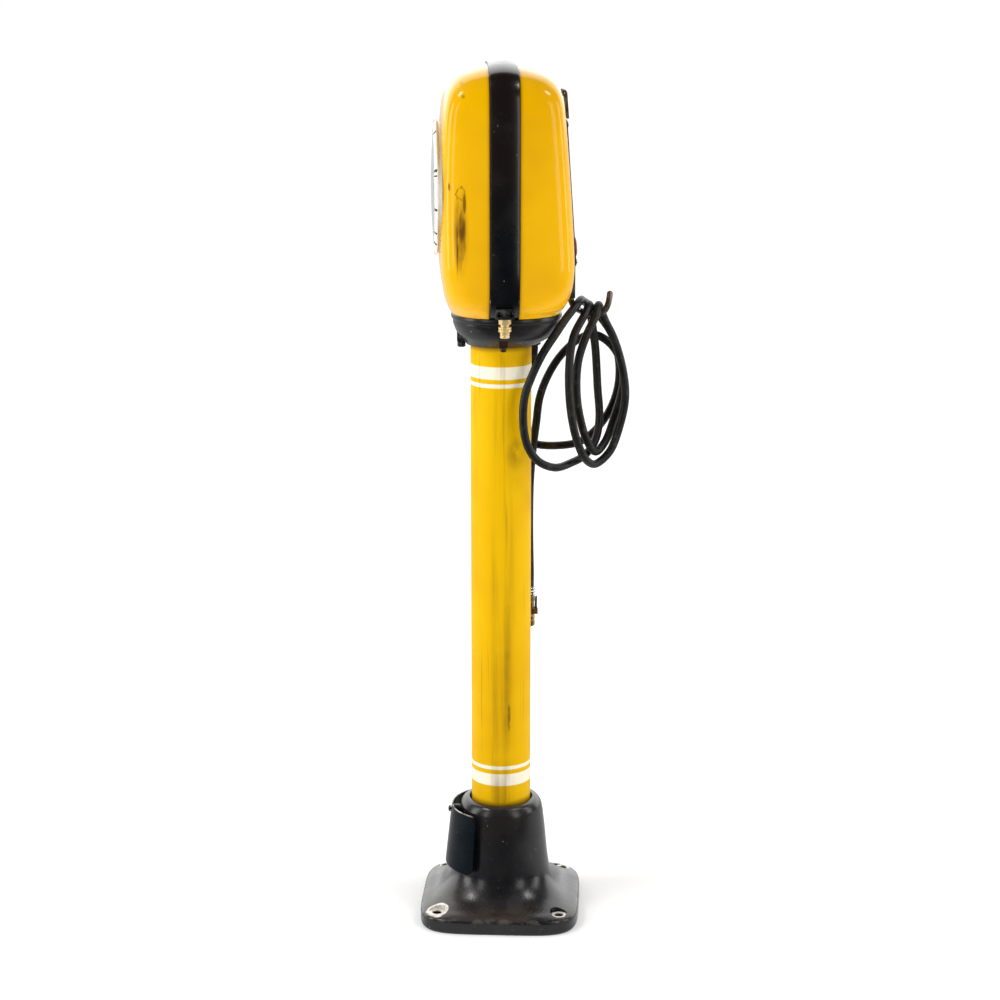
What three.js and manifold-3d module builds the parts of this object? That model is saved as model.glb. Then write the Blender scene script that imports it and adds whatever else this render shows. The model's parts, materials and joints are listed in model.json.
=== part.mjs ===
// A free-standing tyre inflator tower: cast base, tubular column, two-shell head with a round
// pressure dial, and an air hose coiled on a hook.
// Millimetres, +Z up, origin at the middle of the base's underside.
// The dial faces -Y, the operating panel and the hose face +Y, the brass coupler faces +X.
import * as THREE from "three";
import { mergeVertices } from "three/addons/utils/BufferGeometryUtils.js";
import Module from "manifold-3d";

const wasm = await Module();
wasm.setup();

// ---------------------------------------------------------------- driving dimensions
const GAP = 0.3; // between pieces that rest on or pass through each other
const BASE_HALF = 119.5; // half the side of the base flange
const BOLT_HALF = 91.5; // half the spacing of the four anchor holes
const ANCHOR_R = 7;
const SEAT_R = 13; // spot face round an anchor hole
const SEAT_Z = 23.5;
const BASE_TOP = 177;
const BASE_TURN = THREE.MathUtils.degToRad(-6); // how far the base is turned round the column
const TUBE_R = 44.45; // 3 inch nominal tube
const TUBE_WALL = 3.2;
const TUBE_BOTTOM = 146;
const TUBE_TOP = 903;
const BOWL_TOP = 920;
const BAND_HALF = 20; // half the width of the black centre band
const BAND_PROUD = 6;
const BAND_DEPTH = 4;
const SHELL_WALL = 3.5;
const DIAL_Z = 1100;
const DIAL_Y = -90;
const BEZEL_R = 97;
const CASE_R = 84;
const PANEL_Z = 1094;
const PANEL_Y = 96.2;
const PANEL_TILT = THREE.MathUtils.degToRad(4);
const PANEL_HALF_W = 55;
const PANEL_HALF_H = 103;
const PANEL_T = 3;
const HOSE_R = 6;
const HOOK_R = 4.5;
const SUPPLY_R = 6;
const COUPLER_X = 103;
const PINION_TEETH = 12;
const GEAR_RATIO = 6; // pointer turns six times as far as the sector
const GEAR_MODULE = 0.75;

// ---------------------------------------------------------------- finishes
const finish = (color, roughness, metalness = 0, opacity = 1) => () =>
  new THREE.MeshStandardMaterial({
    color, roughness, metalness, opacity, transparent: opacity < 1,
  });
const YELLOW = finish(0xeeb702, 0.3);
const BAND_BLACK = finish(0x101012, 0.25);
const CAST_BLACK = finish(0x262223, 0.45);
const WHITE = finish(0xf1efe6, 0.35);
const INK = finish(0x151515, 0.5);
const GLASS = finish(0xffffff, 0.05, 0, 0.3);
const BRASS = finish(0xc8a060, 0.3, 1);
const COPPER = finish(0xb5673c, 0.4, 1);
const STEEL = finish(0x8c8a86, 0.4, 1);
const CHROME = finish(0xd8d8da, 0.15, 1);
const RUBBER = finish(0x2d2d2a, 0.7);
const RED = finish(0x9c2a1c, 0.4);

// ---------------------------------------------------------------- helpers
const at = (x, y, z) => new THREE.Vector3(x, y, z);

function solid(geometry) {
  const bare = geometry.clone();
  bare.deleteAttribute("normal");
  bare.deleteAttribute("uv");
  const merged = mergeVertices(bare, 1e-3);
  return new wasm.Manifold(
    new wasm.Mesh({
      numProp: 3,
      vertProperties: merged.attributes.position.array,
      triVerts: new Uint32Array(merged.index.array),
    }),
  );
}

function geometryOf(body) {
  const { vertProperties, triVerts } = body.getMesh();
  const geometry = new THREE.BufferGeometry();
  geometry.setAttribute("position", new THREE.BufferAttribute(vertProperties, 3));
  geometry.setIndex(new THREE.BufferAttribute(triVerts, 1));
  geometry.computeVertexNormals();
  return geometry;
}

const cut = (body, ...tools) => tools.reduce((rest, tool) => rest.subtract(tool), body);
const join = (...bodies) => bodies.reduce((all, next) => all.add(next));
const largest = (body) => body.decompose().reduce((a, b) => (a.volume() > b.volume() ? a : b));

function put(parent, name, shape, material) {
  const geometry = shape.isBufferGeometry ? shape : geometryOf(shape);
  const mesh = new THREE.Mesh(geometry, material());
  mesh.name = name;
  parent.add(mesh);
  return mesh;
}

function group(parent, x, y, z, turnX = 0, turnY = 0) {
  const made = new THREE.Group();
  made.position.set(x, y, z);
  made.rotation.set(turnX, turnY, 0);
  parent.add(made);
  return made;
}

// A closed skin over rings of points, with a flat cap on each end.
function loft(rings) {
  const count = rings[0].length;
  const points = rings.flat();
  const index = [];
  for (let r = 0; r + 1 < rings.length; r++) {
    for (let i = 0; i < count; i++) {
      const j = (i + 1) % count;
      const [a, b] = [r * count + i, r * count + j];
      index.push(a, b, b + count, a, b + count, a + count);
    }
  }
  const last = (rings.length - 1) * count;
  for (let i = 1; i + 1 < count; i++) {
    index.push(0, i + 1, i, last, last + i, last + i + 1);
  }
  const geometry = new THREE.BufferGeometry().setFromPoints(points);
  geometry.setIndex(index);
  geometry.computeVertexNormals();
  return geometry;
}

// A superellipse in plan: power 2 is an ellipse, higher powers are squarer.
function planRing(z, halfX, front, rear, power, count) {
  const middle = (front + rear) / 2;
  const halfY = (rear - front) / 2;
  const bend = (v) => Math.sign(v) * Math.abs(v) ** (2 / power);
  return Array.from({ length: count }, (_, i) => {
    const t = (2 * Math.PI * i) / count;
    const c = Math.abs(Math.cos(t)) < 1e-9 ? 0 : Math.cos(t);
    const s = Math.abs(Math.sin(t)) < 1e-9 ? 0 : Math.sin(t);
    return at(halfX * bend(c), middle + halfY * bend(s), z);
  });
}

// A body of revolution about Z from [radius, z] pairs, listed with material on the left.
function turned(profile, segments = 24) {
  const points = profile.map(([r, z]) => new THREE.Vector2(r, z));
  return new THREE.LatheGeometry(points, segments).rotateX(Math.PI / 2);
}

const ring = (outer, inner, low, high, segments = 24) =>
  turned([[inner, low], [outer, low], [outer, high], [inner, high], [inner, low]], segments);

function rod(radius, from, to, segments = 20) {
  const length = from.distanceTo(to);
  const geometry = new THREE.CylinderGeometry(radius, radius, length, segments);
  const turn = new THREE.Quaternion().setFromUnitVectors(
    at(0, 1, 0),
    to.clone().sub(from).normalize(),
  );
  return geometry
    .applyQuaternion(turn)
    .translate(...from.clone().add(to).multiplyScalar(0.5).toArray());
}

const bar = (low, high) =>
  new THREE.BoxGeometry(...high.clone().sub(low).toArray())
    .translate(...high.clone().add(low).multiplyScalar(0.5).toArray());

// A plate with rounded corners, width along X and height along Y, from z = low to z = high.
function roundedPlate(halfW, halfH, corner, low, high) {
  const shape = new THREE.Shape();
  shape.moveTo(halfW, -halfH + corner);
  shape.absarc(halfW - corner, halfH - corner, corner, 0, Math.PI / 2);
  shape.absarc(-halfW + corner, halfH - corner, corner, Math.PI / 2, Math.PI);
  shape.absarc(-halfW + corner, -halfH + corner, corner, Math.PI, Math.PI * 1.5);
  shape.absarc(halfW - corner, -halfH + corner, corner, Math.PI * 1.5, Math.PI * 2);
  return new THREE.ExtrudeGeometry(shape, {
    depth: high - low, bevelEnabled: false, curveSegments: 5,
  }).translate(0, 0, low);
}

function tubeAlong(curve, radius, steps, sides) {
  const shape = new THREE.Shape();
  shape.absarc(0, 0, radius, 0, 2 * Math.PI);
  return new THREE.ExtrudeGeometry(shape, {
    steps, curveSegments: sides, extrudePath: curve, bevelEnabled: false,
  });
}

const smooth = (points) =>
  new THREE.CatmullRomCurve3(points.map((p) => at(...p)), false, "centripetal");

// A round-headed screw along Z, its head above z = 0 and its shank below.
const screw = (headR, headH, shankR, length) =>
  turned([
    [0, -length], [shankR, -length], [shankR, 0], [headR, 0],
    [headR * 0.92, headH * 0.55], [headR * 0.55, headH * 0.92], [0, headH],
  ], 8);

const part = new THREE.Group();

// ---------------------------------------------------------------- base
// [height, half size, plan power]: a rounded square flange that flares up into a round bell.
const BASE_LEVELS = [
  [0, BASE_HALF, 4], [17, BASE_HALF, 4], [21.5, BASE_HALF - 2.5, 4], [25, 110, 3.9],
  [29, 101, 3.6], [36, 91.5, 3], [47, 82, 2.5], [60, 75.5, 2.1], [80, 71.5, 2], [130, 66.5, 2],
  [156, 63.3, 2], [166, 61.4, 2], [172, 58.4, 2], [175.6, 55, 2], [BASE_TOP, 51.2, 2],
];
const COVER_LOW = 74;
const COVER_HIGH = 165;
const COVER_SPAN = THREE.MathUtils.degToRad(62);
const COVER_CORNER = 10;
const COVER_T = 2;
const coverR = (z) => 87.5 - ((z - 50) * 12.5) / 115;
const COVER_SCREW_Z = 154;
const COVER_SCREW_R = 2.2;
const CLAMP_SCREW_Z = 156;
const CLAMP_SCREW_R = 4;
const COVER_BOSS_R = 7;
const HAND_HOLE = { z: 114, halfW: 34, halfH: 17, corner: 8 };
const SOCKET_FLOOR_R = 39; // the step that the column stands on
const ABOVE = 60; // length of a cutting tool, enough to leave the casting

const CLEARANCE = 0.1; // round a screw in its own hole
const coverScrewHole = (clear) =>
  solid(rod(COVER_SCREW_R + clear, at(0, -60, COVER_SCREW_Z), at(0, -90, COVER_SCREW_Z), 12));

function baseCasting() {
  const outer = loft(BASE_LEVELS.map(([z, half, power]) =>
    planRing(z, half, -half, half, power, 28)));
  const hollow = turned([
    [0, -1], [86, -1], [80, 12], [67, 38], [63.5, 70], [60, 118], [54, 138], [0, 138],
  ], 20);
  const socket = turned([
    [0, 130], [SOCKET_FLOOR_R, 130], [SOCKET_FLOOR_R, TUBE_BOTTOM - GAP], [TUBE_R + GAP, TUBE_BOTTOM - GAP],
    [TUBE_R + GAP, 168], [47, 170], [47, BASE_TOP + 1], [0, BASE_TOP + 1],
  ], 32);
  const anchors = [-1, 1].flatMap((sx) => [-1, 1].flatMap((sy) => {
    const [x, y] = [sx * BOLT_HALF, sy * BOLT_HALF];
    return [
      solid(rod(ANCHOR_R, at(x, y, -1), at(x, y, ABOVE), 12)),
      solid(rod(SEAT_R, at(x, y, SEAT_Z), at(x, y, ABOVE), 16)),
    ];
  }));
  const handhole = roundedPlate(HAND_HOLE.halfW, HAND_HOLE.halfH, HAND_HOLE.corner, 0, ABOVE)
    .rotateX(Math.PI / 2)
    .translate(0, -30, HAND_HOLE.z);
  const boss = rod(COVER_BOSS_R, at(0, -55, COVER_SCREW_Z),
    at(0, -coverR(COVER_SCREW_Z + COVER_BOSS_R) + COVER_T + GAP, COVER_SCREW_Z), 12);
  const tapped = coverScrewHole(CLEARANCE);
  const clampHole = rod(CLAMP_SCREW_R + CLEARANCE, at(0, 40, CLAMP_SCREW_Z), at(0, 70, CLAMP_SCREW_Z), 16);
  return cut(
    join(solid(outer), solid(boss)),
    solid(hollow), solid(socket), ...anchors, solid(handhole), tapped, solid(clampHole),
  );
}

// A sheet bent round the front of the bell, with rounded upper and lower corners.
function accessCover() {
  const rings = [];
  const steps = 20;
  for (let i = 0; i <= steps; i++) {
    const angle = -COVER_SPAN + (2 * COVER_SPAN * i) / steps;
    const fromEdge = (COVER_SPAN - Math.abs(angle)) * coverR(120);
    const inCorner = Math.max(COVER_CORNER - fromEdge, 0);
    const drop = COVER_CORNER - Math.sqrt(COVER_CORNER ** 2 - inCorner ** 2);
    const point = (z, inward) => {
      const r = coverR(z) - inward;
      return at(r * Math.sin(angle), -r * Math.cos(angle), z);
    };
    rings.push([
      point(COVER_LOW + drop, COVER_T), point(COVER_HIGH - drop, COVER_T),
      point(COVER_HIGH - drop, 0), point(COVER_LOW + drop, 0),
    ]);
  }
  return cut(solid(loft(rings)), coverScrewHole(GAP));
}

const baseSide = group(part, 0, 0, 0);
baseSide.rotation.z = BASE_TURN;
put(baseSide, "base_casting", baseCasting(), CAST_BLACK);
put(baseSide, "access_cover", accessCover(), CAST_BLACK);
put(group(baseSide, 0, -coverR(COVER_SCREW_Z - 5) - GAP, COVER_SCREW_Z, Math.PI / 2),
  "access_cover_screw", screw(5, 3.6, COVER_SCREW_R, 12), STEEL);
put(baseSide, "column_clamp_screw",
  rod(CLAMP_SCREW_R, at(0, TUBE_R + GAP, CLAMP_SCREW_Z), at(0, 58, CLAMP_SCREW_Z), 12), STEEL);

// ---------------------------------------------------------------- column and air supply
put(part, "column_tube", ring(TUBE_R, TUBE_R - TUBE_WALL, TUBE_BOTTOM, TUBE_TOP, 32), YELLOW);
const SUPPLY_LOW = 40;
const VALVE_Y = 64; // world place of the valve block's lower port
const VALVE_LOW = 992;
put(part, "supply_pipe", tubeAlong(smooth([
  [0, 0, SUPPLY_LOW], [0, 0, 500], [0, 0, 920], [0, 6, 945], [0, 30, 955], [0, 58, 962],
  [0, VALVE_Y, 976], [0, VALVE_Y, VALVE_LOW - GAP],
]), SUPPLY_R, 32, 4), COPPER);
put(part, "inlet_union",
  turned([[0, 0], [9, 0], [9, 12], [11, 14], [11, 26], [9, 28], [9, SUPPLY_LOW - GAP],
    [0, SUPPLY_LOW - GAP]], 6),
  BRASS);

// ---------------------------------------------------------------- saddle under the head
// [height, radius, how far the ring's centre sits towards the hose]
const BOWL_LEVELS = [
  [874, 50.5, 0], [875.3, 53, 2], [878.5, 57.5, 4], [883, 63.5, 6], [888, 68.8, 6.7],
  [893.5, 72.4, 7], [899, 75, 7.3], [905.5, 77.4, 7.6], [911, 78.2, 8], [913, 80.3, 8],
  [BOWL_TOP, 80.3, 8],
];
const bowlSkin = (grow) => loft(BOWL_LEVELS.map(([z, r, y], i) => {
  const lift = i === 0 ? -grow : i === BOWL_LEVELS.length - 1 ? grow : 0;
  return planRing(z + lift, r + grow, y - r - grow, y + r + grow, 2, 32);
}));
const GLAND = at(-28, 50, 0);
const GLAND_R = 10;
const GLAND_SHANK_R = 5;
const GLAND_MOUTH_R = HOSE_R + 1.2; // the hose enters with clearance, because it bends away at once
const [GLAND_LOW, GLAND_SEAT, GLAND_TOP] = [866, 872.6, 893];
const HUB_R = 51;
const FLOOR_Z = 880; // inside the bowl, where its hollow starts round the hub

function saddleCasting() {
  const hollow = loft([[888, 61, 6], [895, 67, 7], [BOWL_TOP + 1, 74, 8]].map(([z, r, y]) =>
    planRing(z, r, y - r, y + r, 2, 24)));
  const hub = rod(HUB_R, at(0, 0, FLOOR_Z), at(0, 0, BOWL_TOP + 2), 24);
  const bore = rod(TUBE_R + GAP, at(0, 0, GLAND_LOW), at(0, 0, BOWL_TOP + 2), 32);
  const glandHole = rod(GLAND_SHANK_R + GAP,
    at(GLAND.x, GLAND.y, GLAND_LOW), at(GLAND.x, GLAND.y, BOWL_TOP), 16);
  return cut(solid(bowlSkin(0)), cut(solid(hollow), solid(hub)), solid(bore), solid(glandHole));
}

put(part, "saddle_casting", saddleCasting(), CAST_BLACK);
const glandGroup = group(part, GLAND.x, GLAND.y, 0);
const glandBody = turned([
  [0, GLAND_SEAT + 1], [GLAND_SHANK_R - 1, GLAND_SEAT + 1], [GLAND_MOUTH_R, GLAND_SEAT - 1],
  [GLAND_MOUTH_R, GLAND_LOW], [GLAND_R, GLAND_LOW], [GLAND_R, GLAND_SEAT],
  [GLAND_SHANK_R, GLAND_SEAT], [GLAND_SHANK_R, GLAND_TOP], [0, GLAND_TOP],
], 16);
put(glandGroup, "hose_gland", glandBody, CAST_BLACK);

const bowlKeepOut = solid(bowlSkin(GAP));
const REGULATOR_Y = -57.5;
const regulatorBlock = cut(
  solid(bar(at(-9, REGULATOR_Y - 6.5, 877.2), at(9, REGULATOR_Y + 10, 893))),
  bowlKeepOut,
  solid(rod(2.6, at(0, REGULATOR_Y, 870), at(0, REGULATOR_Y, 881), 12)),
);
put(part, "regulator_block", largest(regulatorBlock), CAST_BLACK);
put(part, "regulator_knob", turned([
  [0, 868.8], [5.2, 868.8], [6.2, 870], [6.2, 875.2], [5.4, 876.4], [2.3, 876.4], [2.3, 880.4],
  [0, 880.4],
], 14).translate(0, REGULATOR_Y, 0), INK);
put(part, "drain_cock", cut(
  join(
    solid(turned([[0, 870.5], [3.4, 870.5], [4.6, 873], [4.6, 879], [0, 879]], 12).translate(60, 0, 0)),
    solid(bar(at(53.5, -6, 877), at(66.5, 6, 890))),
  ), bowlKeepOut), CAST_BLACK);

// ---------------------------------------------------------------- head shape
// [height, front, rear, half width, plan power] of the two yellow shells together
const HEAD_LEVELS = [
  [BOWL_TOP + GAP, -72, 86, 80, 2.3], [925, -75, 88.5, 84.5, 2.6], [933, -78.5, 92, 92, 3.3],
  [943, -81.8, 95.2, 98.5, 4.2], [955, -84.2, 98, 103.5, 5.2], [972, -86.6, 100.3, 107, 6.2],
  [992, -88.5, 101.3, 109, 7], [1030, -89.6, 99.9, 110, 7], [1090, -90, 96.2, 110, 7],
  [1150, -88.4, 91.8, 110, 7], [1200, -85.9, 87.7, 109, 6.8], [1223, -82.8, 85.2, 107.5, 6.2],
  [1237, -79, 81.5, 104.5, 5.4], [1247, -73.8, 76.2, 100, 4.6], [1256, -65.8, 67.5, 93, 3.8],
  [1263, -54, 55, 82, 3.2], [1269, -37, 36, 62, 2.8], [1273, -17, 15, 34, 2.4],
];
const HEAD_SIDES = 32;
const headSkin = (inset, levels, sides) => loft(levels.map(([z, front, rear, half, power]) =>
  planRing(z, half - inset, front + inset, rear - inset, power, sides)));

function headHollow() {
  const levels = HEAD_LEVELS.filter(([z]) => z < 1262).filter((_, i) => i % 3 === 0 || i > 12);
  levels[0] = [BOWL_TOP - 5, ...levels[0].slice(1)];
  return solid(headSkin(SHELL_WALL, levels, 20));
}

const TIE_X = 97;
const TIE_R = 3;
const TIE_BOSS_R = 7;
const tiePlaces = [-TIE_X, TIE_X].map((x) => [x, DIAL_Z]);

const dialSide = group(part, 0, DIAL_Y, DIAL_Z, Math.PI / 2);
const panelSide = group(part, 0, PANEL_Y, PANEL_Z, PANEL_TILT);
part.updateMatrixWorld(true);
const inWorld = (holder, geometry) => solid(geometry.clone().applyMatrix4(holder.matrixWorld));
const upright = (geometry) => geometry.rotateX(-Math.PI / 2); // plate's Z becomes +Y

// ---------------------------------------------------------------- operating panel
const panelPlate = (grow, depth) =>
  upright(roundedPlate(PANEL_HALF_W + grow, PANEL_HALF_H + grow, 10 + grow,
    -PANEL_T / 2 - grow, PANEL_T / 2 + grow + depth));
const BUTTON_DROP = -81; // along the panel, below its middle
const BUTTON_R = 14;
const COLLAR_R = 18;
const STEM_R = 3;
const PANEL_SCREWS = [[-42, 97], [42, 97], [-42, -97], [42, -97]];
const BLOCK_FACE = -30; // the valve block's face, behind the panel
const LEVER_Z = 1232;
const LEVER_Y = 87.2;
const LEVER_HALF_W = 17;
const LEVER_PIN_R = 1.6;
const KNUCKLE_R = 3.4;
const EAR_HALF_W = 10;
const alongX = (radius, half) => rod(radius, at(-half, 0, 0), at(half, 0, 0), 14);
const leverFoot = (grow) =>
  bar(at(-EAR_HALF_W - grow, -8, -KNUCKLE_R - grow), at(EAR_HALF_W + grow, 0, 1.5 + grow));

function headShell(side) {
  const keepHalf = side < 0
    ? bar(at(-200, -200, 800), at(200, -BAND_HALF - GAP, 1400))
    : bar(at(-200, BAND_HALF + GAP, 800), at(200, 200, 1400));
  const skin = solid(headSkin(0, HEAD_LEVELS, HEAD_SIDES));
  const bosses = tiePlaces.map(([x, z]) =>
    solid(rod(TIE_BOSS_R, at(x, side * 45, z), at(x, side * 84, z), 10)).intersect(skin));
  const tapped = tiePlaces.map(([x, z]) =>
    solid(rod(TIE_R + GAP, at(x, side * 20, z), at(x, side * 70, z), 8)));
  return cut(join(cut(skin, headHollow()), ...bosses), ...tapped)
    .intersect(solid(keepHalf));
}

const bezelPocket = inWorld(dialSide, rod(BEZEL_R + GAP, at(0, 0, -4 - GAP), at(0, 0, 30), 32));
const dialOpening = inWorld(dialSide, rod(CASE_R + GAP, at(0, 0, -50), at(0, 0, 30), 28));
put(part, "front_shell", cut(headShell(-1), bezelPocket, dialOpening), YELLOW);

const panelHoles = PANEL_SCREWS.map(([x, z]) => rod(2.3, at(x, -20, z), at(x, 10, z), 12));
const panelPocket = inWorld(panelSide, panelPlate(GAP, 20));
const panelOpening = inWorld(panelSide, upright(
  roundedPlate(PANEL_HALF_W - 8, PANEL_HALF_H - 8, 6, -40, 20)));
const leverPocket = solid(leverFoot(GAP).translate(0, LEVER_Y, LEVER_Z));
put(part, "rear_shell", largest(cut(headShell(1), panelPocket, panelOpening, leverPocket,
  ...panelHoles.map((hole) => inWorld(panelSide, hole)))), YELLOW);

tiePlaces.forEach(([x, z], i) =>
  put(part, `shell_tie_rod_${i + 1}`, rod(TIE_R, at(x, -69, z), at(x, 69, z), 8), STEEL));

// ---------------------------------------------------------------- centre band
function bandOutline(offset) {
  const crown = [[0, HEAD_LEVELS.at(-1)[0] + 1]];
  const half = HEAD_LEVELS.map(([z, , , x]) => [x, z]).concat(crown);
  return half.map(([x, z], i) => {
    const [ax, az] = half[Math.max(i - 1, 0)];
    const [bx, bz] = half[Math.min(i + 1, half.length - 1)];
    const length = Math.hypot(bx - ax, bz - az);
    const nx = i === half.length - 1 ? 0 : (bz - az) / length;
    const nz = i === half.length - 1 ? 1 : -(bx - ax) / length;
    return [x + offset * nx, z + offset * nz];
  });
}

function bandSolid(outset, inset, halfWidth, bevel) {
  const outer = bandOutline(outset - bevel);
  const inner = bandOutline(-inset + bevel);
  const mirror = (line) => line.slice(0, -1).reverse().map(([x, z]) => [-x, z]);
  const outline = [...outer, ...mirror(outer)];
  const inside = [...inner, ...mirror(inner)].reverse();
  const shape = new THREE.Shape(
    [...outline, ...inside].map(([x, z]) => new THREE.Vector2(x, z)));
  return new THREE.ExtrudeGeometry(shape, {
    depth: 2 * (halfWidth - bevel), bevelEnabled: bevel > 0, bevelSize: bevel,
    bevelThickness: bevel, bevelSegments: 1,
  }).rotateX(Math.PI / 2).translate(0, halfWidth - bevel, 0);
}

const BAND_FOOT = 924;
const BAND_SCREW_Z = 932;
const BAND_SCREW_Y = 8.5;
const belowBand = solid(bar(at(-200, -100, 880), at(200, 100, BAND_FOOT)));
const bandKeepOut = solid(bandSolid(BAND_PROUD + 0.6, BAND_DEPTH, BAND_HALF + 0.6, 0));
const COUPLER_BRACKET = [at(78, -13, 925), at(113, 13, 938.5)];
const COUPLER_STEM_R = 4;
const COUPLER_STEM_TOP = 933;
const bandScrewPlaces = [1, -1].flatMap((sx) => [-1, 1].map((sy) => [sx, sy * BAND_SCREW_Y]));
const bandScrewHoles = bandScrewPlaces.map(([sx, y]) =>
  solid(rod(2.3, at(sx * 70, y, BAND_SCREW_Z), at(sx * 130, y, BAND_SCREW_Z), 10)));
const centreBand = cut(
  solid(bandSolid(BAND_PROUD, BAND_DEPTH, BAND_HALF, 2.5)), belowBand, ...bandScrewHoles);
put(part, "centre_band", centreBand, BAND_BLACK);

// ---------------------------------------------------------------- coupler on the near side
const [bracketLow, bracketHigh] = COUPLER_BRACKET;
const lugOf = (side) => largest(cut(
  solid(bar(
    at(Math.min(side * bracketLow.x, side * bracketHigh.x), bracketLow.y, bracketLow.z),
    at(Math.max(side * bracketLow.x, side * bracketHigh.x), bracketHigh.y, bracketHigh.z))),
  bandKeepOut, bowlKeepOut, ...bandScrewHoles));
const couplerStemHole = solid(
  rod(COUPLER_STEM_R + GAP, at(COUPLER_X, 0, 915), at(COUPLER_X, 0, COUPLER_STEM_TOP + 1), 12));
put(part, "coupler_bracket", cut(lugOf(1), couplerStemHole), CAST_BLACK);
put(part, "band_lug", lugOf(-1), CAST_BLACK);
bandScrewPlaces.forEach(([side, y], i) => {
  const seat = group(part, side * (bracketHigh.x + GAP), y, BAND_SCREW_Z, 0, (side * Math.PI) / 2);
  put(seat, `band_screw_${i + 1}`, screw(4.2, 3, 2, 18), STEEL);
});
const couplerSide = group(part, COUPLER_X, 0, 0);
put(couplerSide, "coupler_body", turned([
  [0, 904], [4.2, 904], [4.2, 897.5], [6.4, 897.5], [6.9, 899], [6.9, 904.6], [6.2, 905.6],
  [6.2, 917.2], [8.6, 917.2], [8.6, bracketLow.z - GAP], [COUPLER_STEM_R, bracketLow.z - GAP],
  [COUPLER_STEM_R, COUPLER_STEM_TOP], [0, COUPLER_STEM_TOP],
], 12), BRASS);
put(couplerSide, "coupler_sleeve", turned([
  [6.5, 906.4], [8.4, 906.4], [9.2, 907.4], [9.2, 912.6], [8.4, 913.6], [6.5, 913.6],
  [6.5, 906.4],
], 16), BRASS);

// ---------------------------------------------------------------- inner frame and pipes
const FRAME_Y = -24;
const FRAME_REAR = 38;
const FRAME_TOP = 1190;
const FRAME_T = 3;
const FRAME_HALF_W = 46;
const FRAME_FOOT = BOWL_TOP + GAP;
const GAUGE_PIPE_Z = 1048;
const GAUGE_PORT_R = 8;
const innerFrame = cut(
  join(
    solid(bar(at(-FRAME_HALF_W, FRAME_Y, FRAME_FOOT), at(FRAME_HALF_W, FRAME_Y + FRAME_T, FRAME_TOP))),
    solid(bar(at(-FRAME_HALF_W, FRAME_Y, FRAME_FOOT),
      at(FRAME_HALF_W, FRAME_REAR, FRAME_FOOT + FRAME_T))),
  ),
  solid(rod(SUPPLY_R + 1, at(0, 0, 900), at(0, 0, 930), 12)),
  solid(rod(GAUGE_PORT_R + 2 * GAP, at(0, -60, GAUGE_PIPE_Z), at(0, 0, GAUGE_PIPE_Z), 12)),
);
put(part, "inner_frame", innerFrame, STEEL);
put(part, "hose_feed_pipe", tubeAlong(smooth([
  [-12, VALVE_Y, VALVE_LOW - GAP], [-12, VALVE_Y, 975], [-20, 58, 940], [GLAND.x, GLAND.y, 915],
  [GLAND.x, GLAND.y, GLAND_TOP + GAP],
]), 4, 14, 3), COPPER);
put(part, "gauge_feed_pipe", tubeAlong(smooth([
  [0, 45, GAUGE_PIPE_Z - 3], [0, 20, GAUGE_PIPE_Z - 1], [0, 0, GAUGE_PIPE_Z],
  [0, -30.5, GAUGE_PIPE_Z],
]), 4, 8, 3), COPPER);

// ---------------------------------------------------------------- pressure gauge, local +Z outward
const SOCKET_DROP = DIAL_Z - GAUGE_PIPE_Z; // the gauge's pressure port, below its middle
const BOURDON_R = SOCKET_DROP;
put(dialSide, "dial_bezel", turned([
  [88, -4], [BEZEL_R, -4], [BEZEL_R, 3], [95.6, 5.6], [92, 7.2], [86, 7.2], [86, 6.2],
  [88, 6.2], [88, -4],
], 32), WHITE);
put(dialSide, "dial_glass", turned([
  [0, 7.8], [35, 7.1], [65, 5.4], [84, 3.6], [87.6, 3.4], [87.6, 5.9], [84, 6.1], [62, 8.2],
  [33, 9.8], [0, 10.3],
], 32), GLASS);
put(dialSide, "dial_plate", ring(87.6, 3, 1, 2.2, 32), WHITE);
const [CASE_BACK, CASE_RIM, CASE_T] = [-44, 0.7, 2.4];
const gaugeCase = cut(
  solid(turned([
    [0, CASE_BACK], [CASE_R, CASE_BACK], [CASE_R, CASE_RIM], [CASE_R - CASE_T, CASE_RIM],
    [CASE_R - CASE_T, CASE_BACK + CASE_T], [0, CASE_BACK + CASE_T],
  ], 28)),
  solid(rod(GAUGE_PORT_R + GAP, at(0, -SOCKET_DROP, -50), at(0, -SOCKET_DROP, -30), 14)),
);
put(dialSide, "gauge_case", gaugeCase, STEEL);
put(dialSide, "gauge_socket", join(
  solid(bar(at(-10, -SOCKET_DROP - 10, -41.2), at(10, -SOCKET_DROP + 10, -31))),
  solid(rod(GAUGE_PORT_R, at(0, -SOCKET_DROP, -59), at(0, -SOCKET_DROP, -40), 14)),
), BRASS);
const bourdonArc = new THREE.Shape();
bourdonArc.absarc(0, 0, BOURDON_R + 2, -Math.PI / 2, Math.PI * 0.95);
bourdonArc.absarc(0, 0, BOURDON_R - 2, Math.PI * 0.95, -Math.PI / 2, true);
put(dialSide, "bourdon_tube", new THREE.ExtrudeGeometry(bourdonArc, {
  depth: 9, bevelEnabled: false, curveSegments: 20,
}).translate(0, 0, -30.7), BRASS);

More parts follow.
